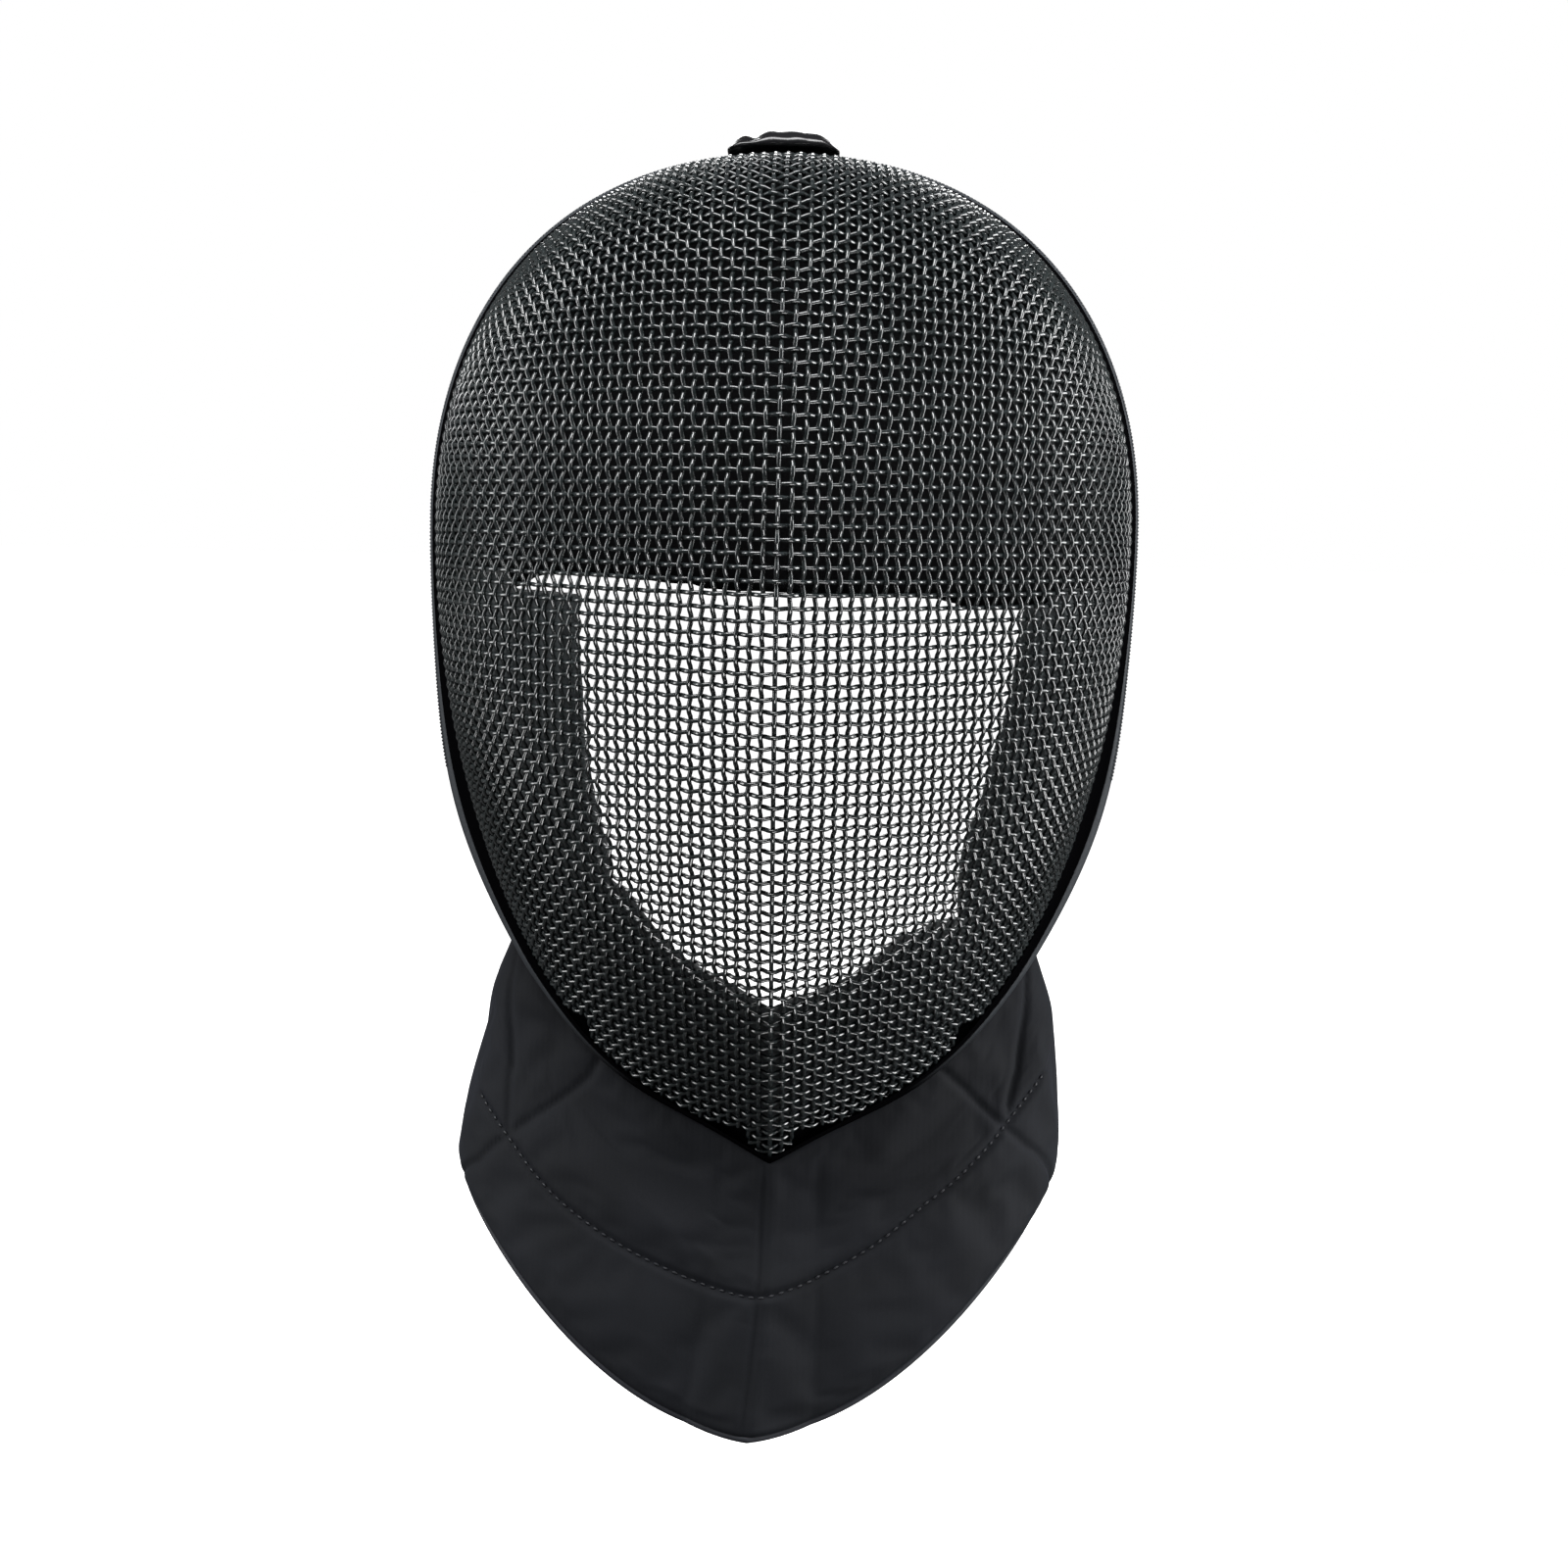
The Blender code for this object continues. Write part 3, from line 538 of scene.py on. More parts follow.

# Polyester binding tape: dark grey with a satin nap. Painted shade: its tucked front edge and the chin are
# black, without shine.
binding_tape, tree, shader, shade = speckled_finish(
    "polyester_binding_tape", 1400.0, 4.0, ("#202326", "#31353A"), 0.65, 0.35)
along = add_node(tree, "ShaderNodeUVMap", {"uv_map": "along_and_corner"})
split = add_node(tree, "ShaderNodeSeparateXYZ", links={"Vector": along.outputs["UV"]})
place = add_node(tree, "ShaderNodeTexCoord")
untucked = add_node(tree, "ShaderNodeMath", {"operation": "GREATER_THAN", 1: 3.1}, {0: split.outputs["Y"]})
spot = add_node(tree, "ShaderNodeSeparateXYZ", links={"Vector": place.outputs["Object"]})
above_chin = add_node(tree, "ShaderNodeMapRange", {"From Min": -0.232, "From Max": -0.212},
                      {"Value": spot.outputs["Z"]})
# Painted shade: 0 on the tucked edge and towards the chin, which take a black base colour and no shine, 1 on
# the rest of the tape.
outside_painted_shade = add_node(tree, "ShaderNodeMath", {"operation": "MULTIPLY"},
                    {0: untucked.outputs[0], 1: above_chin.outputs["Result"]})
mixed = add_node(tree, "ShaderNodeMix", {"data_type": "RGBA", 6: linear("#050506")},
                 {0: outside_painted_shade.outputs[0], 7: shade.outputs["Color"]})
tree.links.new(mixed.outputs[2], shader.inputs["Base Color"])
shine = add_node(tree, "ShaderNodeMath", {"operation": "MULTIPLY", 1: 0.28}, {0: outside_painted_shade.outputs[0]})
tree.links.new(shine.outputs[0], shader.inputs["Specular IOR Level"])
edge_binding.data.materials.append(binding_tape)
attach(edge_binding, "root")
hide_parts("edge_trim")

# The tape's cross ribs run over its fold from jaw to jaw across the crown. Below the jaws it is smooth.
rib_lines = []
rib_angles, _ = even_rim_angles(int(rim_length / RIB_SPACING))
for angle in rib_angles:
    if -rim_point(angle).z > RIB_END_DROP * CHIN_DROP:
        continue
    place, out, back = rim_frame(angle)
    section = binding_section(angle)
    rib_lines.append([place + out * n + back * b + APEX for n, b in section[4:9]])
binding_ribs = made_from_lines(round_line_tree("binding_rib", binding_tape), "binding_ribs", rib_lines,
                               {"Rod radius": RIB_RADIUS, "Rod sides": 5})
layer = binding_ribs.data.uv_layers.new(name="along_and_corner")
layer.data.foreach_set("uv", np.full(2 * len(binding_ribs.data.loops), 6.0, np.float32))
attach(binding_ribs, "root")


# Bib: several layers of tightly woven cloth over thin padding, sewn into the edge binding along the jaw and
# chin. Seams quilt it with a keel fold, a V seam, two slants and two side folds, and tape binds its hem.
BIB_WALL = 0.0060
BIB_HALF_WIDTH = 0.0817
BIB_TIP_DROP = 0.2368
BIB_SIDE_DROP = 0.1785
BIB_REAR_DROP = 0.1480
BIB_TIP_DEPTH = 0.0740
BIB_SIDE_DEPTH = 0.1240
BIB_REAR_DEPTH = 0.1580
BIB_TOP_SHARE = 0.26
BIB_WRAP = math.radians(116)
BIB_REAR_TUCK = 0.40
BIB_KEEL = 0.0050
BIB_KEEL_SPREAD = 0.10
BIB_HEM_SWEEP = 1.85
BIB_REAR_SWEEP = 1.5
BIB_ROLL = 0.0030
BIB_ROLL_SHARE = 0.45
BIB_LEAN = 0.0045
BIB_COLUMNS = 141
BIB_ROWS = 71
HEM_THINNESS = 0.45
HEM_FADE = 0.06
END_THINNESS = 0.50
END_FADE = 0.04
BIB_SIDE_PROFILE = (
    {"height": 0.20, "width": 1.150},
    {"height": 0.45, "width": 1.050},
    {"height": 0.68, "width": 0.865},
    {"height": 0.80, "width": 0.937},
    {"height": 1.06, "width": 1.022},
    {"height": 1.50, "width": 1.032},
)
# Seams as (u, v): u runs from the left rear at -1 to the right rear at 1, v from the binding to the hem.
BIB_SEAMS = {
    "keel": ((-0.005, 0.0), (-0.005, 1.0)),
    "v_seam": ((-0.640, 0.650), (-0.529, 0.633), (-0.407, 0.620), (-0.290, 0.584), (-0.182, 0.553),
               (-0.109, 0.536), (-0.028, 0.510), (0.009, 0.494), (0.081, 0.496), (0.207, 0.486),
               (0.310, 0.458), (0.420, 0.464), (0.502, 0.474), (0.620, 0.490)),
    "left_slant": ((-0.400, 0.0), (-0.414, 0.116), (-0.451, 0.270), (-0.501, 0.485), (-0.593, 0.834),
                   (-0.679, 1.0)),
    "right_slant": ((0.380, 0.0), (0.397, 0.035), (0.434, 0.170), (0.502, 0.474), (0.550, 0.643),
                    (0.617, 0.830), (0.680, 1.0)),
    "left_side": ((-0.650, 0.0), (-0.640, 0.136), (-0.617, 0.299), (-0.579, 0.464), (-0.539, 0.632)),
    "right_side": ((0.630, 0.0), (0.619, 0.057), (0.590, 0.188), (0.565, 0.357), (0.523, 0.453)),
}
SEAM_HOLD = 0.0024
SEAM_GROOVE = 0.0011
SEAM_GROOVE_SPREAD = 0.0011
SEAM_SAMPLES = 60
STUFFING_PRESSURE = 4.0
STUFFING_FRAMES = 20
BIB_SWELL = 0.0022
BIB_SLACK = 0.008


def bib_half_width(z):
    """The bib's half-width at a height, eased between the rows of its side profile."""
    rows = BIB_SIDE_PROFILE
    at = -z / CHIN_DROP
    if at <= rows[0]["height"]:
        return BIB_HALF_WIDTH * rows[0]["width"]
    for low, high in zip(rows, rows[1:]):
        if at <= high["height"]:
            share = (at - low["height"]) / (high["height"] - low["height"])
            eased = (share + share * share * (3 - 2 * share)) / 2
            return BIB_HALF_WIDTH * (low["width"] + (high["width"] - low["width"]) * eased)
    return BIB_HALF_WIDTH * rows[-1]["width"]


def bib_hem(u):
    """The bib's lower edge: a pointed front tip, level sides and a raised rear corner."""
    turn_here = abs(u) * BIB_WRAP
    side_at = math.pi / 2 / BIB_WRAP
    reach = min(abs(u) / side_at, 1.0)
    past = max(0.0, (abs(u) - side_at) / (1 - side_at))
    tucked = 1 - BIB_REAR_TUCK * (1 - math.sin(turn_here))
    across = math.sin(turn_here) if turn_here < math.pi / 2 else tucked
    sweep = math.sin(min(turn_here, math.pi / 2)) ** BIB_HEM_SWEEP
    z = -BIB_TIP_DROP + (BIB_TIP_DROP - BIB_SIDE_DROP) * sweep
    z += (BIB_SIDE_DROP - BIB_REAR_DROP) * past**BIB_REAR_SWEEP
    y = BIB_TIP_DEPTH + (BIB_SIDE_DEPTH - BIB_TIP_DEPTH) * (1 - math.cos(reach * math.pi / 2))
    y += (BIB_REAR_DEPTH - BIB_SIDE_DEPTH) * past
    return Vector((math.copysign(BIB_HALF_WIDTH * across, u), y, z))


def bib_middle(u, v):
    """The middle of the bib's wall, from its top at v = 0 to its hem at v = 1."""
    end = -math.asin(BIB_TOP_SHARE)
    angle = -math.pi / 2 + u * (end + math.pi / 2)
    top, _, back = rim_frame(angle)
    top = top + back * (web_depth(angle) + FIT_GAP)
    hem = bib_hem(u)
    z = top.z + (hem.z - top.z) * v
    width_top = top.x / bib_half_width(top.z)
    width_hem = hem.x / bib_half_width(hem.z)
    x = bib_half_width(z) * (width_top + (width_hem - width_top) * v) - BIB_LEAN * v**2
    y = top.y + (hem.y - top.y) * v - BIB_KEEL * max(0.0, 1 - abs(u) / BIB_KEEL_SPREAD) * v
    return Vector((x, y, z)) + back * (BIB_ROLL * math.sin(math.pi * min(v / BIB_ROLL_SHARE, 1.0)))


def bib_place(u, v, depth):
    """A place on the bib at a distance outside the middle of its wall."""
    across = bib_middle(min(u + 0.01, 1), v) - bib_middle(max(u - 0.01, -1), v)
    fall = bib_middle(u, min(v + 0.01, 1)) - bib_middle(u, max(v - 0.01, 0))
    return bib_middle(u, v) + fall.cross(across).normalized() * depth + APEX


def seam_line(name, depth):
    """Points along a seam, spaced evenly in its table's own run."""
    table = np.array(BIB_SEAMS[name])
    run = np.concatenate(([0.0], np.cumsum(np.linalg.norm(np.diff(table, axis=0), axis=1))))
    at = np.linspace(0, run[-1], SEAM_SAMPLES)
    us = np.interp(at, run, table[:, 0])
    vs = np.interp(at, run, table[:, 1])
    return [bib_place(u, v, depth) for u, v in zip(us, vs)]


def distance_to_lines(points, lines):
    """How far each point lies from the nearest of some lines."""
    nearest = np.full(len(points), 1.0)
    for line in lines:
        line = np.array(line)
        for start, end in zip(line, line[1:]):
            step = end - start
            share = np.clip((points - start) @ step / max(step @ step, 1e-12), 0, 1)
            nearest = np.minimum(nearest, np.linalg.norm(points - start - share[:, None] * step, axis=1))
    return nearest


def mesh_points(mesh):
    points = np.empty(3 * len(mesh.vertices))
    mesh.vertices.foreach_get("co", points)
    return points.reshape(-1, 3)


def mesh_normals(mesh):
    normals = np.empty(3 * len(mesh.vertices))
    mesh.vertex_normals.foreach_get("vector", normals)
    return normals.reshape(-1, 3)


def stuffed(piece, held, most, slack):
    """Swells a closed cloth body by simulation. held says how firmly each point is sewn down, from 0 to 1,
    most is how far any point may move, and slack is the spare cloth, as a share, which puckers."""
    start = mesh_points(piece.data)
    group = piece.vertex_groups.new(name="sewn_down")
    for index, weight in enumerate(held):
        group.add([index], float(weight), "REPLACE")
    cloth = piece.modifiers.new("stuffing", "CLOTH")
    cloth.settings.use_pressure = True
    cloth.settings.uniform_pressure_force = STUFFING_PRESSURE
    cloth.settings.effector_weights.gravity = 0
    cloth.settings.vertex_group_mass = "sewn_down"
    cloth.settings.shrink_min = -slack
    cloth.point_cache.frame_start = 1
    cloth.point_cache.frame_end = STUFFING_FRAMES
    for number in range(1, STUFFING_FRAMES + 1):
        bpy.context.scene.frame_set(number)
    swollen = piece.evaluated_get(bpy.context.evaluated_depsgraph_get())
    end = mesh_points(swollen.data)
    piece.modifiers.remove(cloth)
    piece.vertex_groups.remove(group)
    bpy.context.scene.frame_set(1)
    move = end - start
    length = np.linalg.norm(move, axis=1)
    move *= (np.minimum(length, most) / np.maximum(length, 1e-9))[:, None]
    piece.data.vertices.foreach_set("co", (start + move).ravel())
    piece.data.update()


def subdivided(piece, levels=1):
    """Replaces a piece's mesh with a smooth, finer one."""
    rounding = piece.modifiers.new("rounding", "SUBSURF")
    rounding.levels = levels
    rounding.render_levels = levels
    finer = bpy.data.meshes.new_from_object(piece.evaluated_get(bpy.context.evaluated_depsgraph_get()))
    piece.modifiers.remove(rounding)
    coarse = piece.data
    piece.data = finer
    bpy.data.meshes.remove(coarse)
    finer.name = piece.name
    finer.shade_smooth()


outer = []
inner = []
half = BIB_WALL / 2
for v in np.linspace(0, 1, BIB_ROWS):
    edge = min(v, 1 - v)
    thick = half * min(1.0, HEM_THINNESS + (1 - HEM_THINNESS) * math.sqrt(edge / HEM_FADE))
    for u in np.linspace(-1, 1, BIB_COLUMNS):
        end_edge = min(1.0, END_THINNESS + (1 - END_THINNESS) * math.sqrt((1 - abs(u)) / END_FADE))
        outer.append(bib_place(u, v, thick * end_edge))
        inner.append(bib_place(u, v, -thick * end_edge))
faces = []
size = BIB_ROWS * BIB_COLUMNS
for r in range(BIB_ROWS - 1):
    for c in range(BIB_COLUMNS - 1):
        a = r * BIB_COLUMNS + c
        b = a + BIB_COLUMNS
        faces.append((a, a + 1, b + 1, b))
        faces.append((size + b, size + b + 1, size + a + 1, size + a))
border = list(range(BIB_COLUMNS)) + [r * BIB_COLUMNS + BIB_COLUMNS - 1 for r in range(1, BIB_ROWS)]
border += [(BIB_ROWS - 1) * BIB_COLUMNS + c for c in range(BIB_COLUMNS - 2, -1, -1)]
border += [r * BIB_COLUMNS for r in range(BIB_ROWS - 2, 0, -1)]
for a, b in zip(border, border[1:] + border[:1]):
    faces.append((b, a, size + a, size + b))
bib_cloth = add_mesh("bib_cloth", outer + inner, faces)
faced_outwards(bib_cloth)
seam_lines = [seam_line(name, half) for name in BIB_SEAMS]
start = mesh_points(bib_cloth.data)
held = np.exp(-((distance_to_lines(start, seam_lines) / SEAM_HOLD) ** 2))
grid = np.indices((BIB_ROWS, BIB_COLUMNS))
at_hem = np.minimum(grid[0], BIB_ROWS - 1 - grid[0])
at_end = np.minimum(grid[1], BIB_COLUMNS - 1 - grid[1])
at_edge = np.minimum(at_hem, at_end)
held[:size] = np.maximum(held[:size], np.clip(1.5 - at_edge.ravel() / 2, 0, 1))
held[size:] = 1.0
stuffed(bib_cloth, held, BIB_SWELL, BIB_SLACK)
subdivided(bib_cloth)
ends = mesh_points(bib_cloth.data)
distance = distance_to_lines(ends, seam_lines)
groove = SEAM_GROOVE * np.exp(-((distance / SEAM_GROOVE_SPREAD) ** 2))
ends -= mesh_normals(bib_cloth.data) * groove[:, None]
bib_cloth.data.vertices.foreach_set("co", ends.ravel())
bib_cloth.data.update()

# Tightly woven navy cloth: fine upright ribs, drawn about 1.6 mm apart, coarser than the real threads.
BIB_WEAVE_SCALE = 1250.0 / (2 * math.pi)
bib_weave, tree, shader = new_finish("navy_woven_cloth")
place = add_node(tree, "ShaderNodeTexCoord")
threads = add_node(tree, "ShaderNodeTexWave", {"Scale": BIB_WEAVE_SCALE, "Distortion": 1.0, "Detail": 2.0},
                   {"Vector": place.outputs["Object"]})
cloth_noise = add_node(tree, "ShaderNodeTexNoise", {"Scale": 45.0, "Detail": 5.0},
                       {"Vector": place.outputs["Object"]})
fine_noise = add_node(tree, "ShaderNodeTexNoise", {"Scale": 1800.0, "Detail": 2.0},
                      {"Vector": place.outputs["Object"]})
height = add_node(tree, "ShaderNodeMath", {"operation": "MULTIPLY_ADD", 1: 0.4},
                  {0: threads.outputs["Fac"], 2: fine_noise.outputs["Fac"]})
bump = add_node(tree, "ShaderNodeBump", {"Strength": 0.3, "Distance": 0.00012}, {"Height": height.outputs[0]})
tree.links.new(bump.outputs["Normal"], shader.inputs["Normal"])
shade = add_node(tree, "ShaderNodeValToRGB", links={"Fac": cloth_noise.outputs["Fac"]})
shade.color_ramp.elements[0].position = 0.3
shade.color_ramp.elements[0].color = linear("#0C0E12")
shade.color_ramp.elements[1].position = 0.7
shade.color_ramp.elements[1].color = linear("#111318")
tree.links.new(shade.outputs["Color"], shader.inputs["Base Color"])
shader.inputs["Roughness"].default_value = 0.80
shader.inputs["Specular IOR Level"].default_value = 0.2
shader.inputs["Sheen Weight"].default_value = 0.06
shader.inputs["Sheen Roughness"].default_value = 0.45
shader.inputs["Sheen Tint"].default_value = linear("#8E98B0")
bib_cloth.data.materials.append(bib_weave)
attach(bib_cloth, "root")
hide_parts("bib")

# Hem tape: a narrow folded strip of the same navy, sewn round the bib's free edges.
HEM_TAPE_RADIUS = 0.0013
free_edge = [bib_place(-1, v, 0) for v in np.linspace(0.02, 0.985, 50)]
free_edge += [bib_place(u, 1, 0) for u in np.linspace(-1, 1, 301)]
free_edge += [bib_place(1, v, 0) for v in np.linspace(0.985, 0.02, 50)]
hem_weave = speckled_finish("navy_hem_tape", 700.0, 3.0, ("#14161C", "#20232B"), 0.65, 0.4)[0]
hem_tape = made_from_lines(round_line_tree("hem_tape", hem_weave), "hem_tape", [free_edge],
                           {"Rod radius": HEM_TAPE_RADIUS, "Rod sides": 10})
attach(hem_tape, "root")

# Bonded thread: the V seam is topstitched in short navy stitches that sit in its groove.
STITCH_SPACING = 0.0027
STITCH_LENGTH = 0.0017
STITCH_RADIUS = 0.00028
STITCH_SINK = 0.6 * SEAM_GROOVE
seam_thread = speckled_finish("bonded_navy_thread", 2500.0, 2.0, ("#0C0D11", "#1D2028"), 0.45)[0]
stitcher = bpy.data.node_groups.new("seam_stitch", "GeometryNodeTree")
stitcher.interface.new_socket("Geometry", in_out="INPUT", socket_type="NodeSocketGeometry")
for name in ("Stitch spacing", "Stitch length", "Stitch radius"):
    stitcher.interface.new_socket(name, in_out="INPUT", socket_type="NodeSocketFloat")
stitcher.interface.new_socket("Geometry", in_out="OUTPUT", socket_type="NodeSocketGeometry")
given = add_node(stitcher, "NodeGroupInput")
lines = add_node(stitcher, "GeometryNodeMeshToCurve", links={"Mesh": given.outputs["Geometry"]})
spots = add_node(stitcher, "GeometryNodeCurveToPoints", {"mode": "LENGTH"}, {
    "Curve": lines.outputs["Curve"], "Length": given.outputs["Stitch spacing"]})
bead = add_node(stitcher, "GeometryNodeMeshIcoSphere", {"Radius": 1.0, "Subdivisions": 1})
half_length = add_node(stitcher, "ShaderNodeMath", {"operation": "MULTIPLY", 1: 0.5},
                       {0: given.outputs["Stitch length"]})
shape = add_node(stitcher, "ShaderNodeCombineXYZ", links={
    "X": given.outputs["Stitch radius"], "Y": given.outputs["Stitch radius"], "Z": half_length.outputs[0]})
placed = add_node(stitcher, "GeometryNodeInstanceOnPoints", links={
    "Points": spots.outputs["Points"], "Instance": bead.outputs["Mesh"],
    "Rotation": spots.outputs["Rotation"], "Scale": shape.outputs["Vector"]})
real = add_node(stitcher, "GeometryNodeRealizeInstances", links={"Geometry": placed.outputs["Instances"]})
dressed = add_node(stitcher, "GeometryNodeSetMaterial", {"Material": seam_thread},
                   {"Geometry": real.outputs["Geometry"]})
add_node(stitcher, "NodeGroupOutput", links={"Geometry": dressed.outputs["Geometry"]})
seam_stitches = made_from_lines(stitcher, "seam_stitches", [seam_line("v_seam", half - STITCH_SINK)], {
    "Stitch spacing": STITCH_SPACING, "Stitch length": STITCH_LENGTH, "Stitch radius": STITCH_RADIUS})
seam_stitches.data.shade_smooth()
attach(seam_stitches, "root")


# Inner pads: foam in dark grey brushed knit, sewn inside the rim at both cheeks and round the chin. They
# frame the see-through window, lie flat on the mesh, and swell towards the face.
PAD_VOXEL = 0.0024
PAD_SWELL = 0.0030
PAD_SLACK = 0.008
HEAD_MIDDLE = np.array((0.0, 0.030, -0.130))
MARGIN_WIDTH = 0.0120
MARGIN_PULL = 0.45
SIDE_MARGIN_WIDTH = 0.0600
SIDE_MARGIN_PULL = 0.60
SIDE_HEIGHTS = (-0.2400, -0.1900, -0.0200, 0.0100)
SIDE_FROM = 0.0300
SIDE_TO = 0.0500
MARGIN_INSET = 0.0022
MARGIN_REST = 0.0030
ROLL_END_STRETCH = 0.0060
ROLL_END_SPREAD = 0.16
TOP_LIFT = 0.0040
LIFT_FROM = 0.0680
LIFT_SPREAD = 0.0030
FACING_SHARPNESS = 2.5
RIM_PLACES = []
for angle in trim_angles:
    place, out, _ = rim_frame(angle)
    RIM_PLACES.append(np.array(place - out * MARGIN_INSET + APEX))


def covered_copy(node_name, name, voxel):
    """A closed, evenly meshed copy of a solid, ready to be made into cloth."""
    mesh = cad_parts[node_name].data.copy()
    mesh.name = name
    mesh.materials.clear()
    body = bmesh.new()
    body.from_mesh(mesh)
    bmesh.ops.remove_doubles(body, verts=body.verts, dist=1e-5)
    body.to_mesh(mesh)
    body.free()
    piece = bpy.data.objects.new(name, mesh)
    bpy.context.scene.collection.objects.link(piece)
    even = piece.modifiers.new("even", "REMESH")
    even.mode = "VOXEL"
    even.voxel_size = voxel
    finer = bpy.data.meshes.new_from_object(piece.evaluated_get(bpy.context.evaluated_depsgraph_get()))
    piece.modifiers.remove(even)
    piece.data = finer
    bpy.data.meshes.remove(mesh)
    finer.name = name
    return piece


def caught_in_binding(piece):
    """Draws the outer margin of a pad or lining out under the binding, where it is sewn, and stretches a cheek
    roll until it meets the lining above and the chin roll below."""
    points = mesh_points(piece.data)
    miss = np.full(len(points), 1.0)
    pull = np.zeros_like(points)
    for rim in RIM_PLACES:
        step = rim - points
        length = np.linalg.norm(step, axis=1)
        nearer = length < miss
        miss[nearer] = length[nearer]
        pull[nearer] = step[nearer]
    at_side = np.interp(points[:, 2], SIDE_HEIGHTS, (0.0, 1.0, 1.0, 0.0))
    at_side *= np.interp(np.abs(points[:, 0]), (SIDE_FROM, SIDE_TO), (0.0, 1.0))
    width = MARGIN_WIDTH + (SIDE_MARGIN_WIDTH - MARGIN_WIDTH) * at_side
    share = MARGIN_PULL + (SIDE_MARGIN_PULL - MARGIN_PULL) * at_side
    reach = np.minimum(np.maximum(0.0, width - miss) * share, np.maximum(0.0, miss - MARGIN_REST))
    points += pull / miss[:, None] * reach[:, None]
    if piece.name.startswith("cheek"):
        below_top = (points[:, 2].max() - points[:, 2]) / MARGIN_WIDTH
        outside = (np.abs(points[:, 0]) - LIFT_FROM) / LIFT_SPREAD
        points[:, 2] += TOP_LIFT * np.clip(1 - below_top, 0, 1) * np.clip(outside, 0, 1)
        turn_down = np.arctan2(APEX.z - points[:, 2], np.abs(points[:, 0]))
        stretch = ROLL_END_STRETCH * np.clip(1 - (turn_down.max() - turn_down) / ROLL_END_SPREAD, 0, 1)
        points[:, 0] -= np.sign(points[:, 0]) * np.sin(turn_down) * stretch
        points[:, 2] -= np.cos(turn_down) * stretch
    piece.data.vertices.foreach_set("co", points.ravel())
    piece.data.update()


def faces_the_mesh(piece):
    """For each point, 1 where it looks away from the middle of the head and 0 where it looks inwards."""
    away = mesh_points(piece.data) - HEAD_MIDDLE
    away /= np.linalg.norm(away, axis=1)[:, None]
    return np.clip((away * mesh_normals(piece.data)).sum(axis=1) * FACING_SHARPNESS + 0.5, 0, 1)


# Brushed knit: soft and dark grey, with a fine nap.
pad_knit, tree, shader, _ = speckled_finish("grey_brushed_knit", 1500.0, 3.0, ("#333739", "#444A4C"), 0.88, 0.5)
shader.inputs["Sheen Weight"].default_value = 0.15
for node_name, name in (
    ("cheek_pad_left", "cheek_roll_left"),
    ("cheek_pad_right", "cheek_roll_right"),
    ("chin_pad", "chin_roll"),
):
    roll = covered_copy(node_name, name, PAD_VOXEL)
    caught_in_binding(roll)
    stuffed(roll, faces_the_mesh(roll), PAD_SWELL, PAD_SLACK)
    subdivided(roll)
    roll.data.materials.append(pad_knit)
    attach(roll, "root")
    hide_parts(node_name)


# Crown lining: a quilted near-black hood sewn in at the temples, which stands behind the mesh from the brow
# up. Its lower edge is the dark line above the see-through window.
LINING_VOXEL = 0.0036
LINING_SWELL = 0.0040
LINING_SEAMS = (-0.056, -0.028, 0.0, 0.028, 0.056)
LINING_SEAM_SPREAD = 0.0030
LINING_TOP_RISE = 0.45
LINING_RISE_FROM = -0.0199
LINING_TOP_HALF_WIDTH = 0.0540
crown_lining = covered_copy("forehead_pad", "crown_lining", LINING_VOXEL)
caught_in_binding(crown_lining)
places = mesh_points(crown_lining.data)
across = places[:, 0]
narrowing = np.clip(1 - (np.abs(across) / LINING_TOP_HALF_WIDTH) ** 3, 0, 1)
places[:, 2] += LINING_TOP_RISE * np.maximum(0.0, places[:, 2] - LINING_RISE_FROM) * narrowing
crown_lining.data.vertices.foreach_set("co", places.ravel())
crown_lining.data.update()
held = faces_the_mesh(crown_lining)
for seam in LINING_SEAMS:
    held = np.maximum(held, np.exp(-(((across - seam) / LINING_SEAM_SPREAD) ** 2)))
stuffed(crown_lining, held, LINING_SWELL, PAD_SLACK)
subdivided(crown_lining)

# Brushed lining: near-black, with a short nap that takes almost no light.
lining_cloth, tree, shader, _ = speckled_finish(
    "black_brushed_lining", 1300.0, 3.0, ("#040405", "#0A0A0C"), 0.95, 0.4)
shader.inputs["Specular IOR Level"].default_value = 0.1
crown_lining.data.materials.append(lining_cloth)
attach(crown_lining, "root")
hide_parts("forehead_pad")


# Tongue: a bent spring strip in a padded black canvas sleeve, riveted under the crown. It comes out over the
# rim and bends down behind the head, which it presses forward into the mask.
TONGUE_VOXEL = 0.0030
TONGUE_SWELL = 0.0016
TONGUE_SEAM_INSET = 0.0045
TONGUE_SEAM_SPREAD = 0.0012
TONGUE_HALF_WIDTH = 0.0230
TONGUE_TAPER = 0.0040
TONGUE_LENGTH = 0.1350
TONGUE_START = -0.0200
TONGUE_ROOT = 0.0020
tongue_sleeve = covered_copy("tongue", "tongue_sleeve", TONGUE_VOXEL)
places = mesh_points(tongue_sleeve.data)
inset = TONGUE_HALF_WIDTH - TONGUE_SEAM_INSET
inset = inset - TONGUE_TAPER * np.clip((places[:, 1] - TONGUE_START) / TONGUE_LENGTH, 0, 1)
seam_miss = np.abs(np.abs(places[:, 0]) - inset)
held = np.exp(-((seam_miss / TONGUE_SEAM_SPREAD) ** 2))
stuffed(tongue_sleeve, np.maximum(held, places[:, 1] < TONGUE_ROOT), TONGUE_SWELL, slack=0.0)
subdivided(tongue_sleeve)

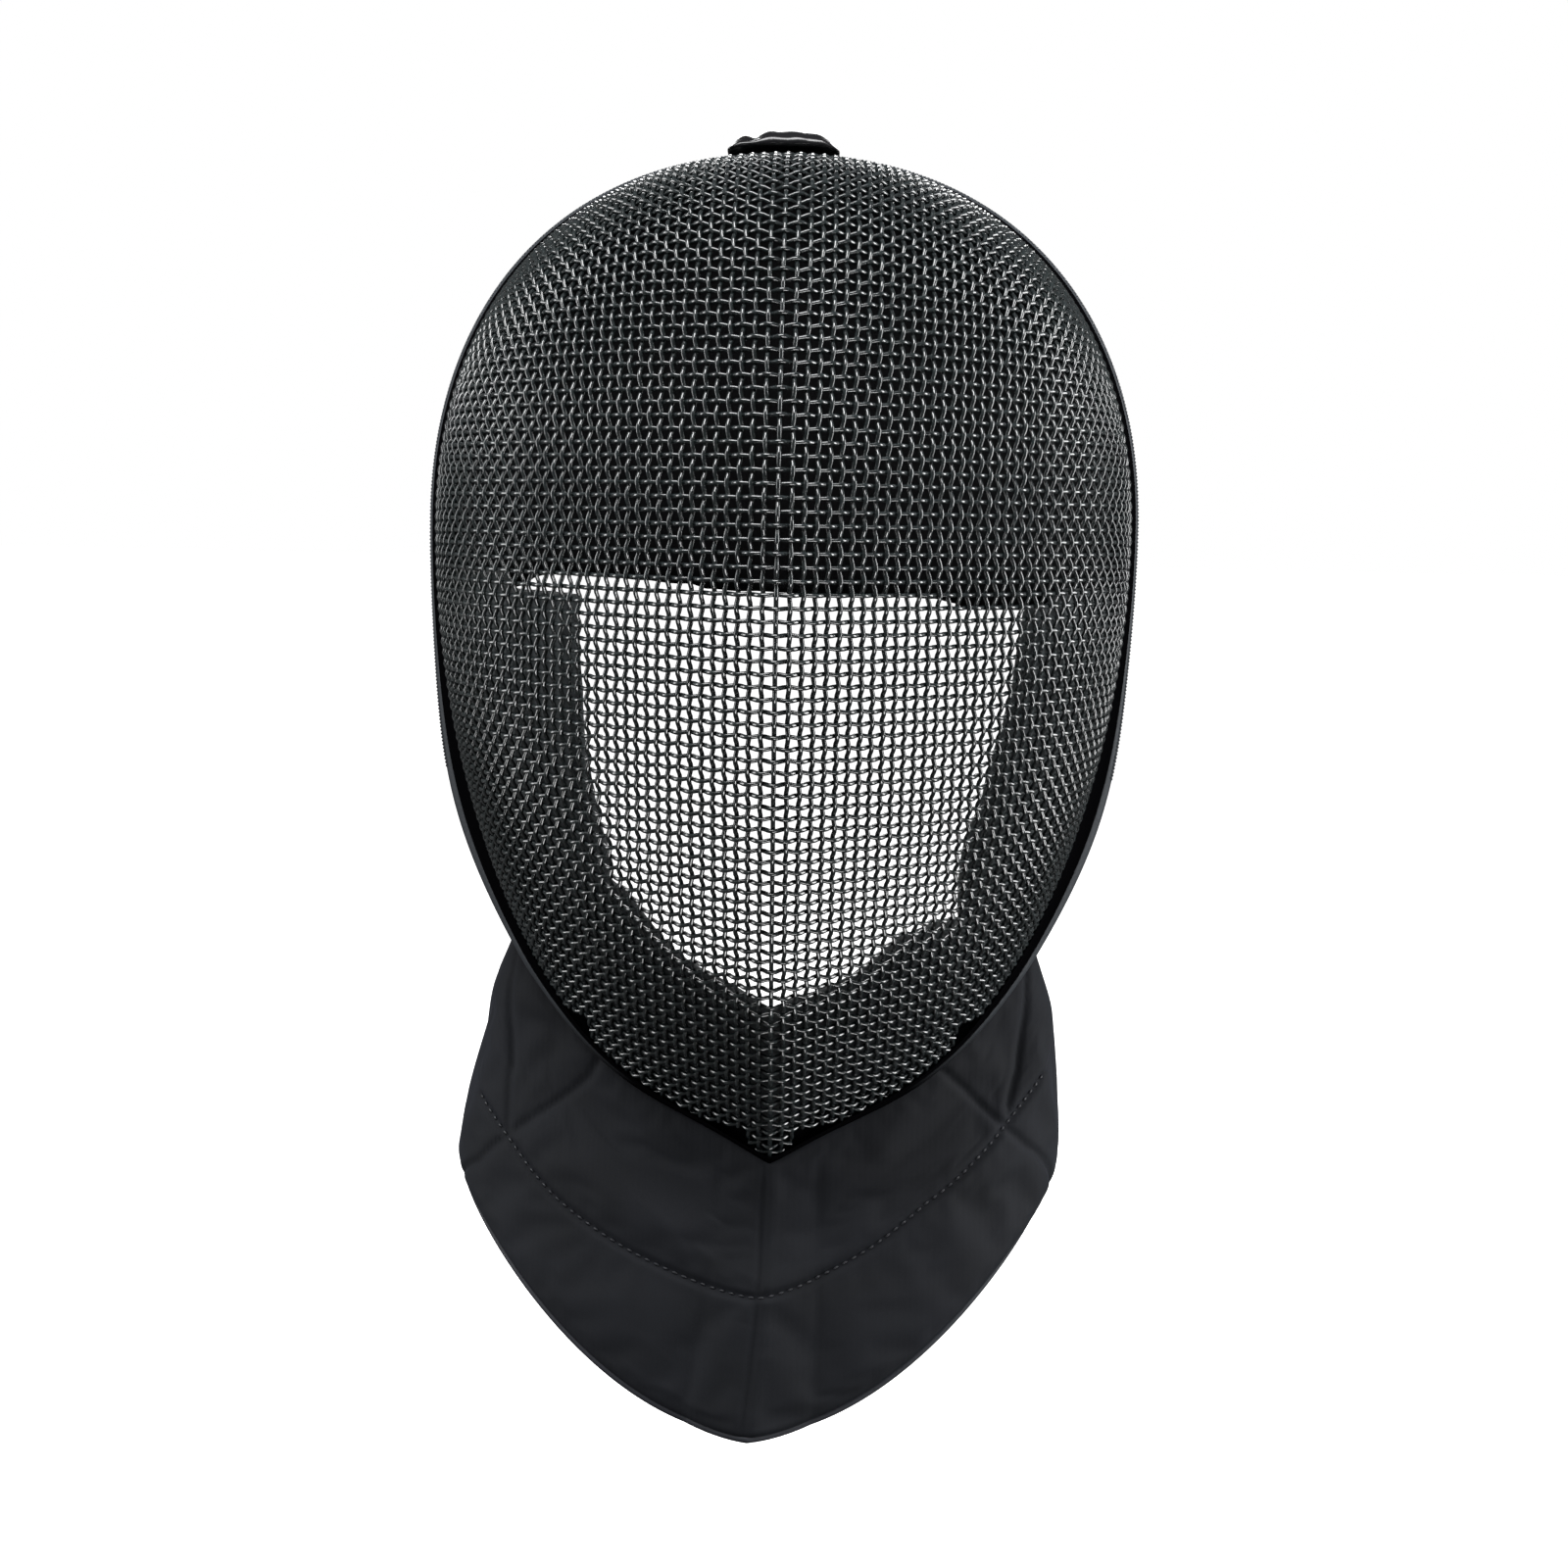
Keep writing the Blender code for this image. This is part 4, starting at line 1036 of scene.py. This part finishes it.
# Canvas: black, with lengthwise ribs about 1.4 mm apart.
CANVAS_SCALE = 1400.0 / (2 * math.pi)
sleeve_canvas, tree, shader = new_finish("black_sleeve_canvas")
place = add_node(tree, "ShaderNodeTexCoord")
threads = add_node(tree, "ShaderNodeTexWave", {"Scale": CANVAS_SCALE, "Distortion": 1.5, "Detail": 2.0},
                   {"Vector": place.outputs["Object"]})
bump = add_node(tree, "ShaderNodeBump", {"Strength": 0.4, "Distance": 0.0002},
                {"Height": threads.outputs["Fac"]})
tree.links.new(bump.outputs["Normal"], shader.inputs["Normal"])
shade = add_node(tree, "ShaderNodeValToRGB", links={"Fac": threads.outputs["Fac"]})
shade.color_ramp.elements[0].color = linear("#0D0E10")
shade.color_ramp.elements[1].color = linear("#17181B")
tree.links.new(shade.outputs["Color"], shader.inputs["Base Color"])
shader.inputs["Roughness"].default_value = 0.85
tongue_sleeve.data.materials.append(sleeve_canvas)
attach(tongue_sleeve, "root")
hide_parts("tongue")


# Crown cap: a small stuffed patch of black vinyl, sewn over the binding where the tongue is fixed. It is
# gathered under its stitching, so it bulges in two unequal lobes with soft puckers.
CAP_VOXEL = 0.0010
CAP_SWELL = 0.0016
CAP_HALF_WIDTH = 0.0150
CAP_END_FALL = 0.70
CAP_SHIFT = 0.0015
CAP_SEAT_HEIGHT = 0.0125
CAP_FOLD_AT = -0.0060
CAP_FOLD_DEPTH = 0.0013
CAP_FOLD_SPREAD = 0.0020
CAP_PUCKER_DEPTH = 0.00010
CAP_PUCKER_SPACING = 0.0062
CAP_PUCKER_LEAN = 0.40
CAP_FOLD_LEAN = 0.25
CAP_MIDDLE = -0.0100
crown_cap = covered_copy("tongue_cover", "crown_cap", CAP_VOXEL)
places = mesh_points(crown_cap.data)
over_seat = np.maximum(0.0, places[:, 2] - CAP_SEAT_HEIGHT)
endwards = np.clip(np.abs(places[:, 0]) / CAP_HALF_WIDTH, 0, 1)
places[:, 2] -= over_seat * CAP_END_FALL * endwards**4
places[:, 0] -= CAP_SHIFT
crown_cap.data.vertices.foreach_set("co", places.ravel())
crown_cap.data.update()
normals = mesh_normals(crown_cap.data)
upward = normals[:, 2] - 0.5 * normals[:, 1] ** 2
stuffed(crown_cap, np.clip(0.5 - FACING_SHARPNESS * upward, 0, 1), CAP_SWELL, slack=0.0)
subdivided(crown_cap)
places = mesh_points(crown_cap.data)
normals = mesh_normals(crown_cap.data)
upward = np.clip(normals[:, 2] + 0.3, 0, 1)
lean = places[:, 0] - CAP_FOLD_AT - CAP_FOLD_LEAN * (places[:, 1] - CAP_MIDDLE)
dent = CAP_FOLD_DEPTH * np.exp(-((lean / CAP_FOLD_SPREAD) ** 2))
phase = (places[:, 0] + CAP_PUCKER_LEAN * places[:, 1]) / CAP_PUCKER_SPACING
dent += CAP_PUCKER_DEPTH * (1 + np.sin(2 * math.pi * phase))
crown_cap.data.vertices.foreach_set("co", (places - normals * (dent * upward)[:, None]).ravel())
crown_cap.data.update()

# Glossy vinyl: near-black and smooth, with a fine grain and clear highlights.
cap_vinyl, tree, shader = new_finish("gloss_black_vinyl")
place = add_node(tree, "ShaderNodeTexCoord")
grain = add_node(tree, "ShaderNodeTexNoise", {"Scale": 600.0, "Detail": 2.0},
                 {"Vector": place.outputs["Object"]})
bump = add_node(tree, "ShaderNodeBump", {"Strength": 0.25, "Distance": 0.0003},
                {"Height": grain.outputs["Fac"]})
tree.links.new(bump.outputs["Normal"], shader.inputs["Normal"])
shader.inputs["Base Color"].default_value = linear("#111113")
shader.inputs["Roughness"].default_value = 0.25
crown_cap.data.materials.append(cap_vinyl)
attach(crown_cap, "root")
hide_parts("tongue_cover")


# Studio: a plain white floor under the hanging bib and a white surround, with soft boxes above and below the
# front, on each side and behind. The mesh is lit by the boxes, so its gaps stay dark.
FLOOR_HEIGHT = -0.42
HALF_FLOOR = 15.0
SURROUND_LIGHT = 0.12
floor = add_mesh("floor", [(-HALF_FLOOR, -HALF_FLOOR, FLOOR_HEIGHT), (HALF_FLOOR, -HALF_FLOOR, FLOOR_HEIGHT),
                           (HALF_FLOOR, HALF_FLOOR, FLOOR_HEIGHT), (-HALF_FLOOR, HALF_FLOOR, FLOOR_HEIGHT)],
                 [(0, 1, 2, 3)], smooth=False)
floor_paint, tree, shader = new_finish("white_studio_paint")
shader.inputs["Base Color"].default_value = linear("#F4F4F4")
shader.inputs["Roughness"].default_value = 0.9
shader.inputs["Emission Color"].default_value = linear("#FFFFFF")
shader.inputs["Emission Strength"].default_value = 1.0
floor.data.materials.append(floor_paint)
floor.visible_diffuse = False
floor.visible_glossy = False

world = bpy.data.worlds.new("white_studio")
world.use_nodes = True
tree = world.node_tree
backdrop = tree.nodes["Background"]
backdrop.inputs["Color"].default_value = (1.0, 1.0, 1.0, 1.0)
seen = add_node(tree, "ShaderNodeLightPath")
strength = add_node(tree, "ShaderNodeMapRange", {"To Min": SURROUND_LIGHT, "To Max": 1.0},
                    {"Value": seen.outputs["Is Camera Ray"]})
tree.links.new(strength.outputs["Result"], backdrop.inputs["Strength"])
bpy.context.scene.world = world

LAMP_AIM = Vector((0.0, -0.05, -0.15))
LAMPS = (
    {"name": "front_top_box", "place": (-0.10, -0.55, 0.75), "width": 0.60, "height": 0.50, "power": 16.0},
    {"name": "left_box", "place": (-0.95, -0.25, 0.10), "width": 0.35, "height": 0.90, "power": 9.0},
    {"name": "right_box", "place": (0.95, -0.20, 0.00), "width": 0.35, "height": 0.90, "power": 15.0},
    {"name": "front_low_box", "place": (0.25, -0.75, -0.70), "width": 0.60, "height": 0.30, "power": 9.0},
    {"name": "rear_box", "place": (0.00, 0.95, 0.55), "width": 0.60, "height": 0.40, "power": 6.0},
)
for row in LAMPS:
    lamp_data = bpy.data.lights.new(row["name"], "AREA")
    lamp_data.shape = "RECTANGLE"
    lamp_data.size = row["width"]
    lamp_data.size_y = row["height"]
    lamp_data.energy = row["power"]
    lamp = bpy.data.objects.new(row["name"], lamp_data)
    lamp.location = row["place"]
    lamp.rotation_euler = (LAMP_AIM - Vector(row["place"])).to_track_quat("-Z", "Y").to_euler()
    bpy.context.scene.collection.objects.link(lamp)
bpy.context.scene.view_settings.view_transform = "Standard"
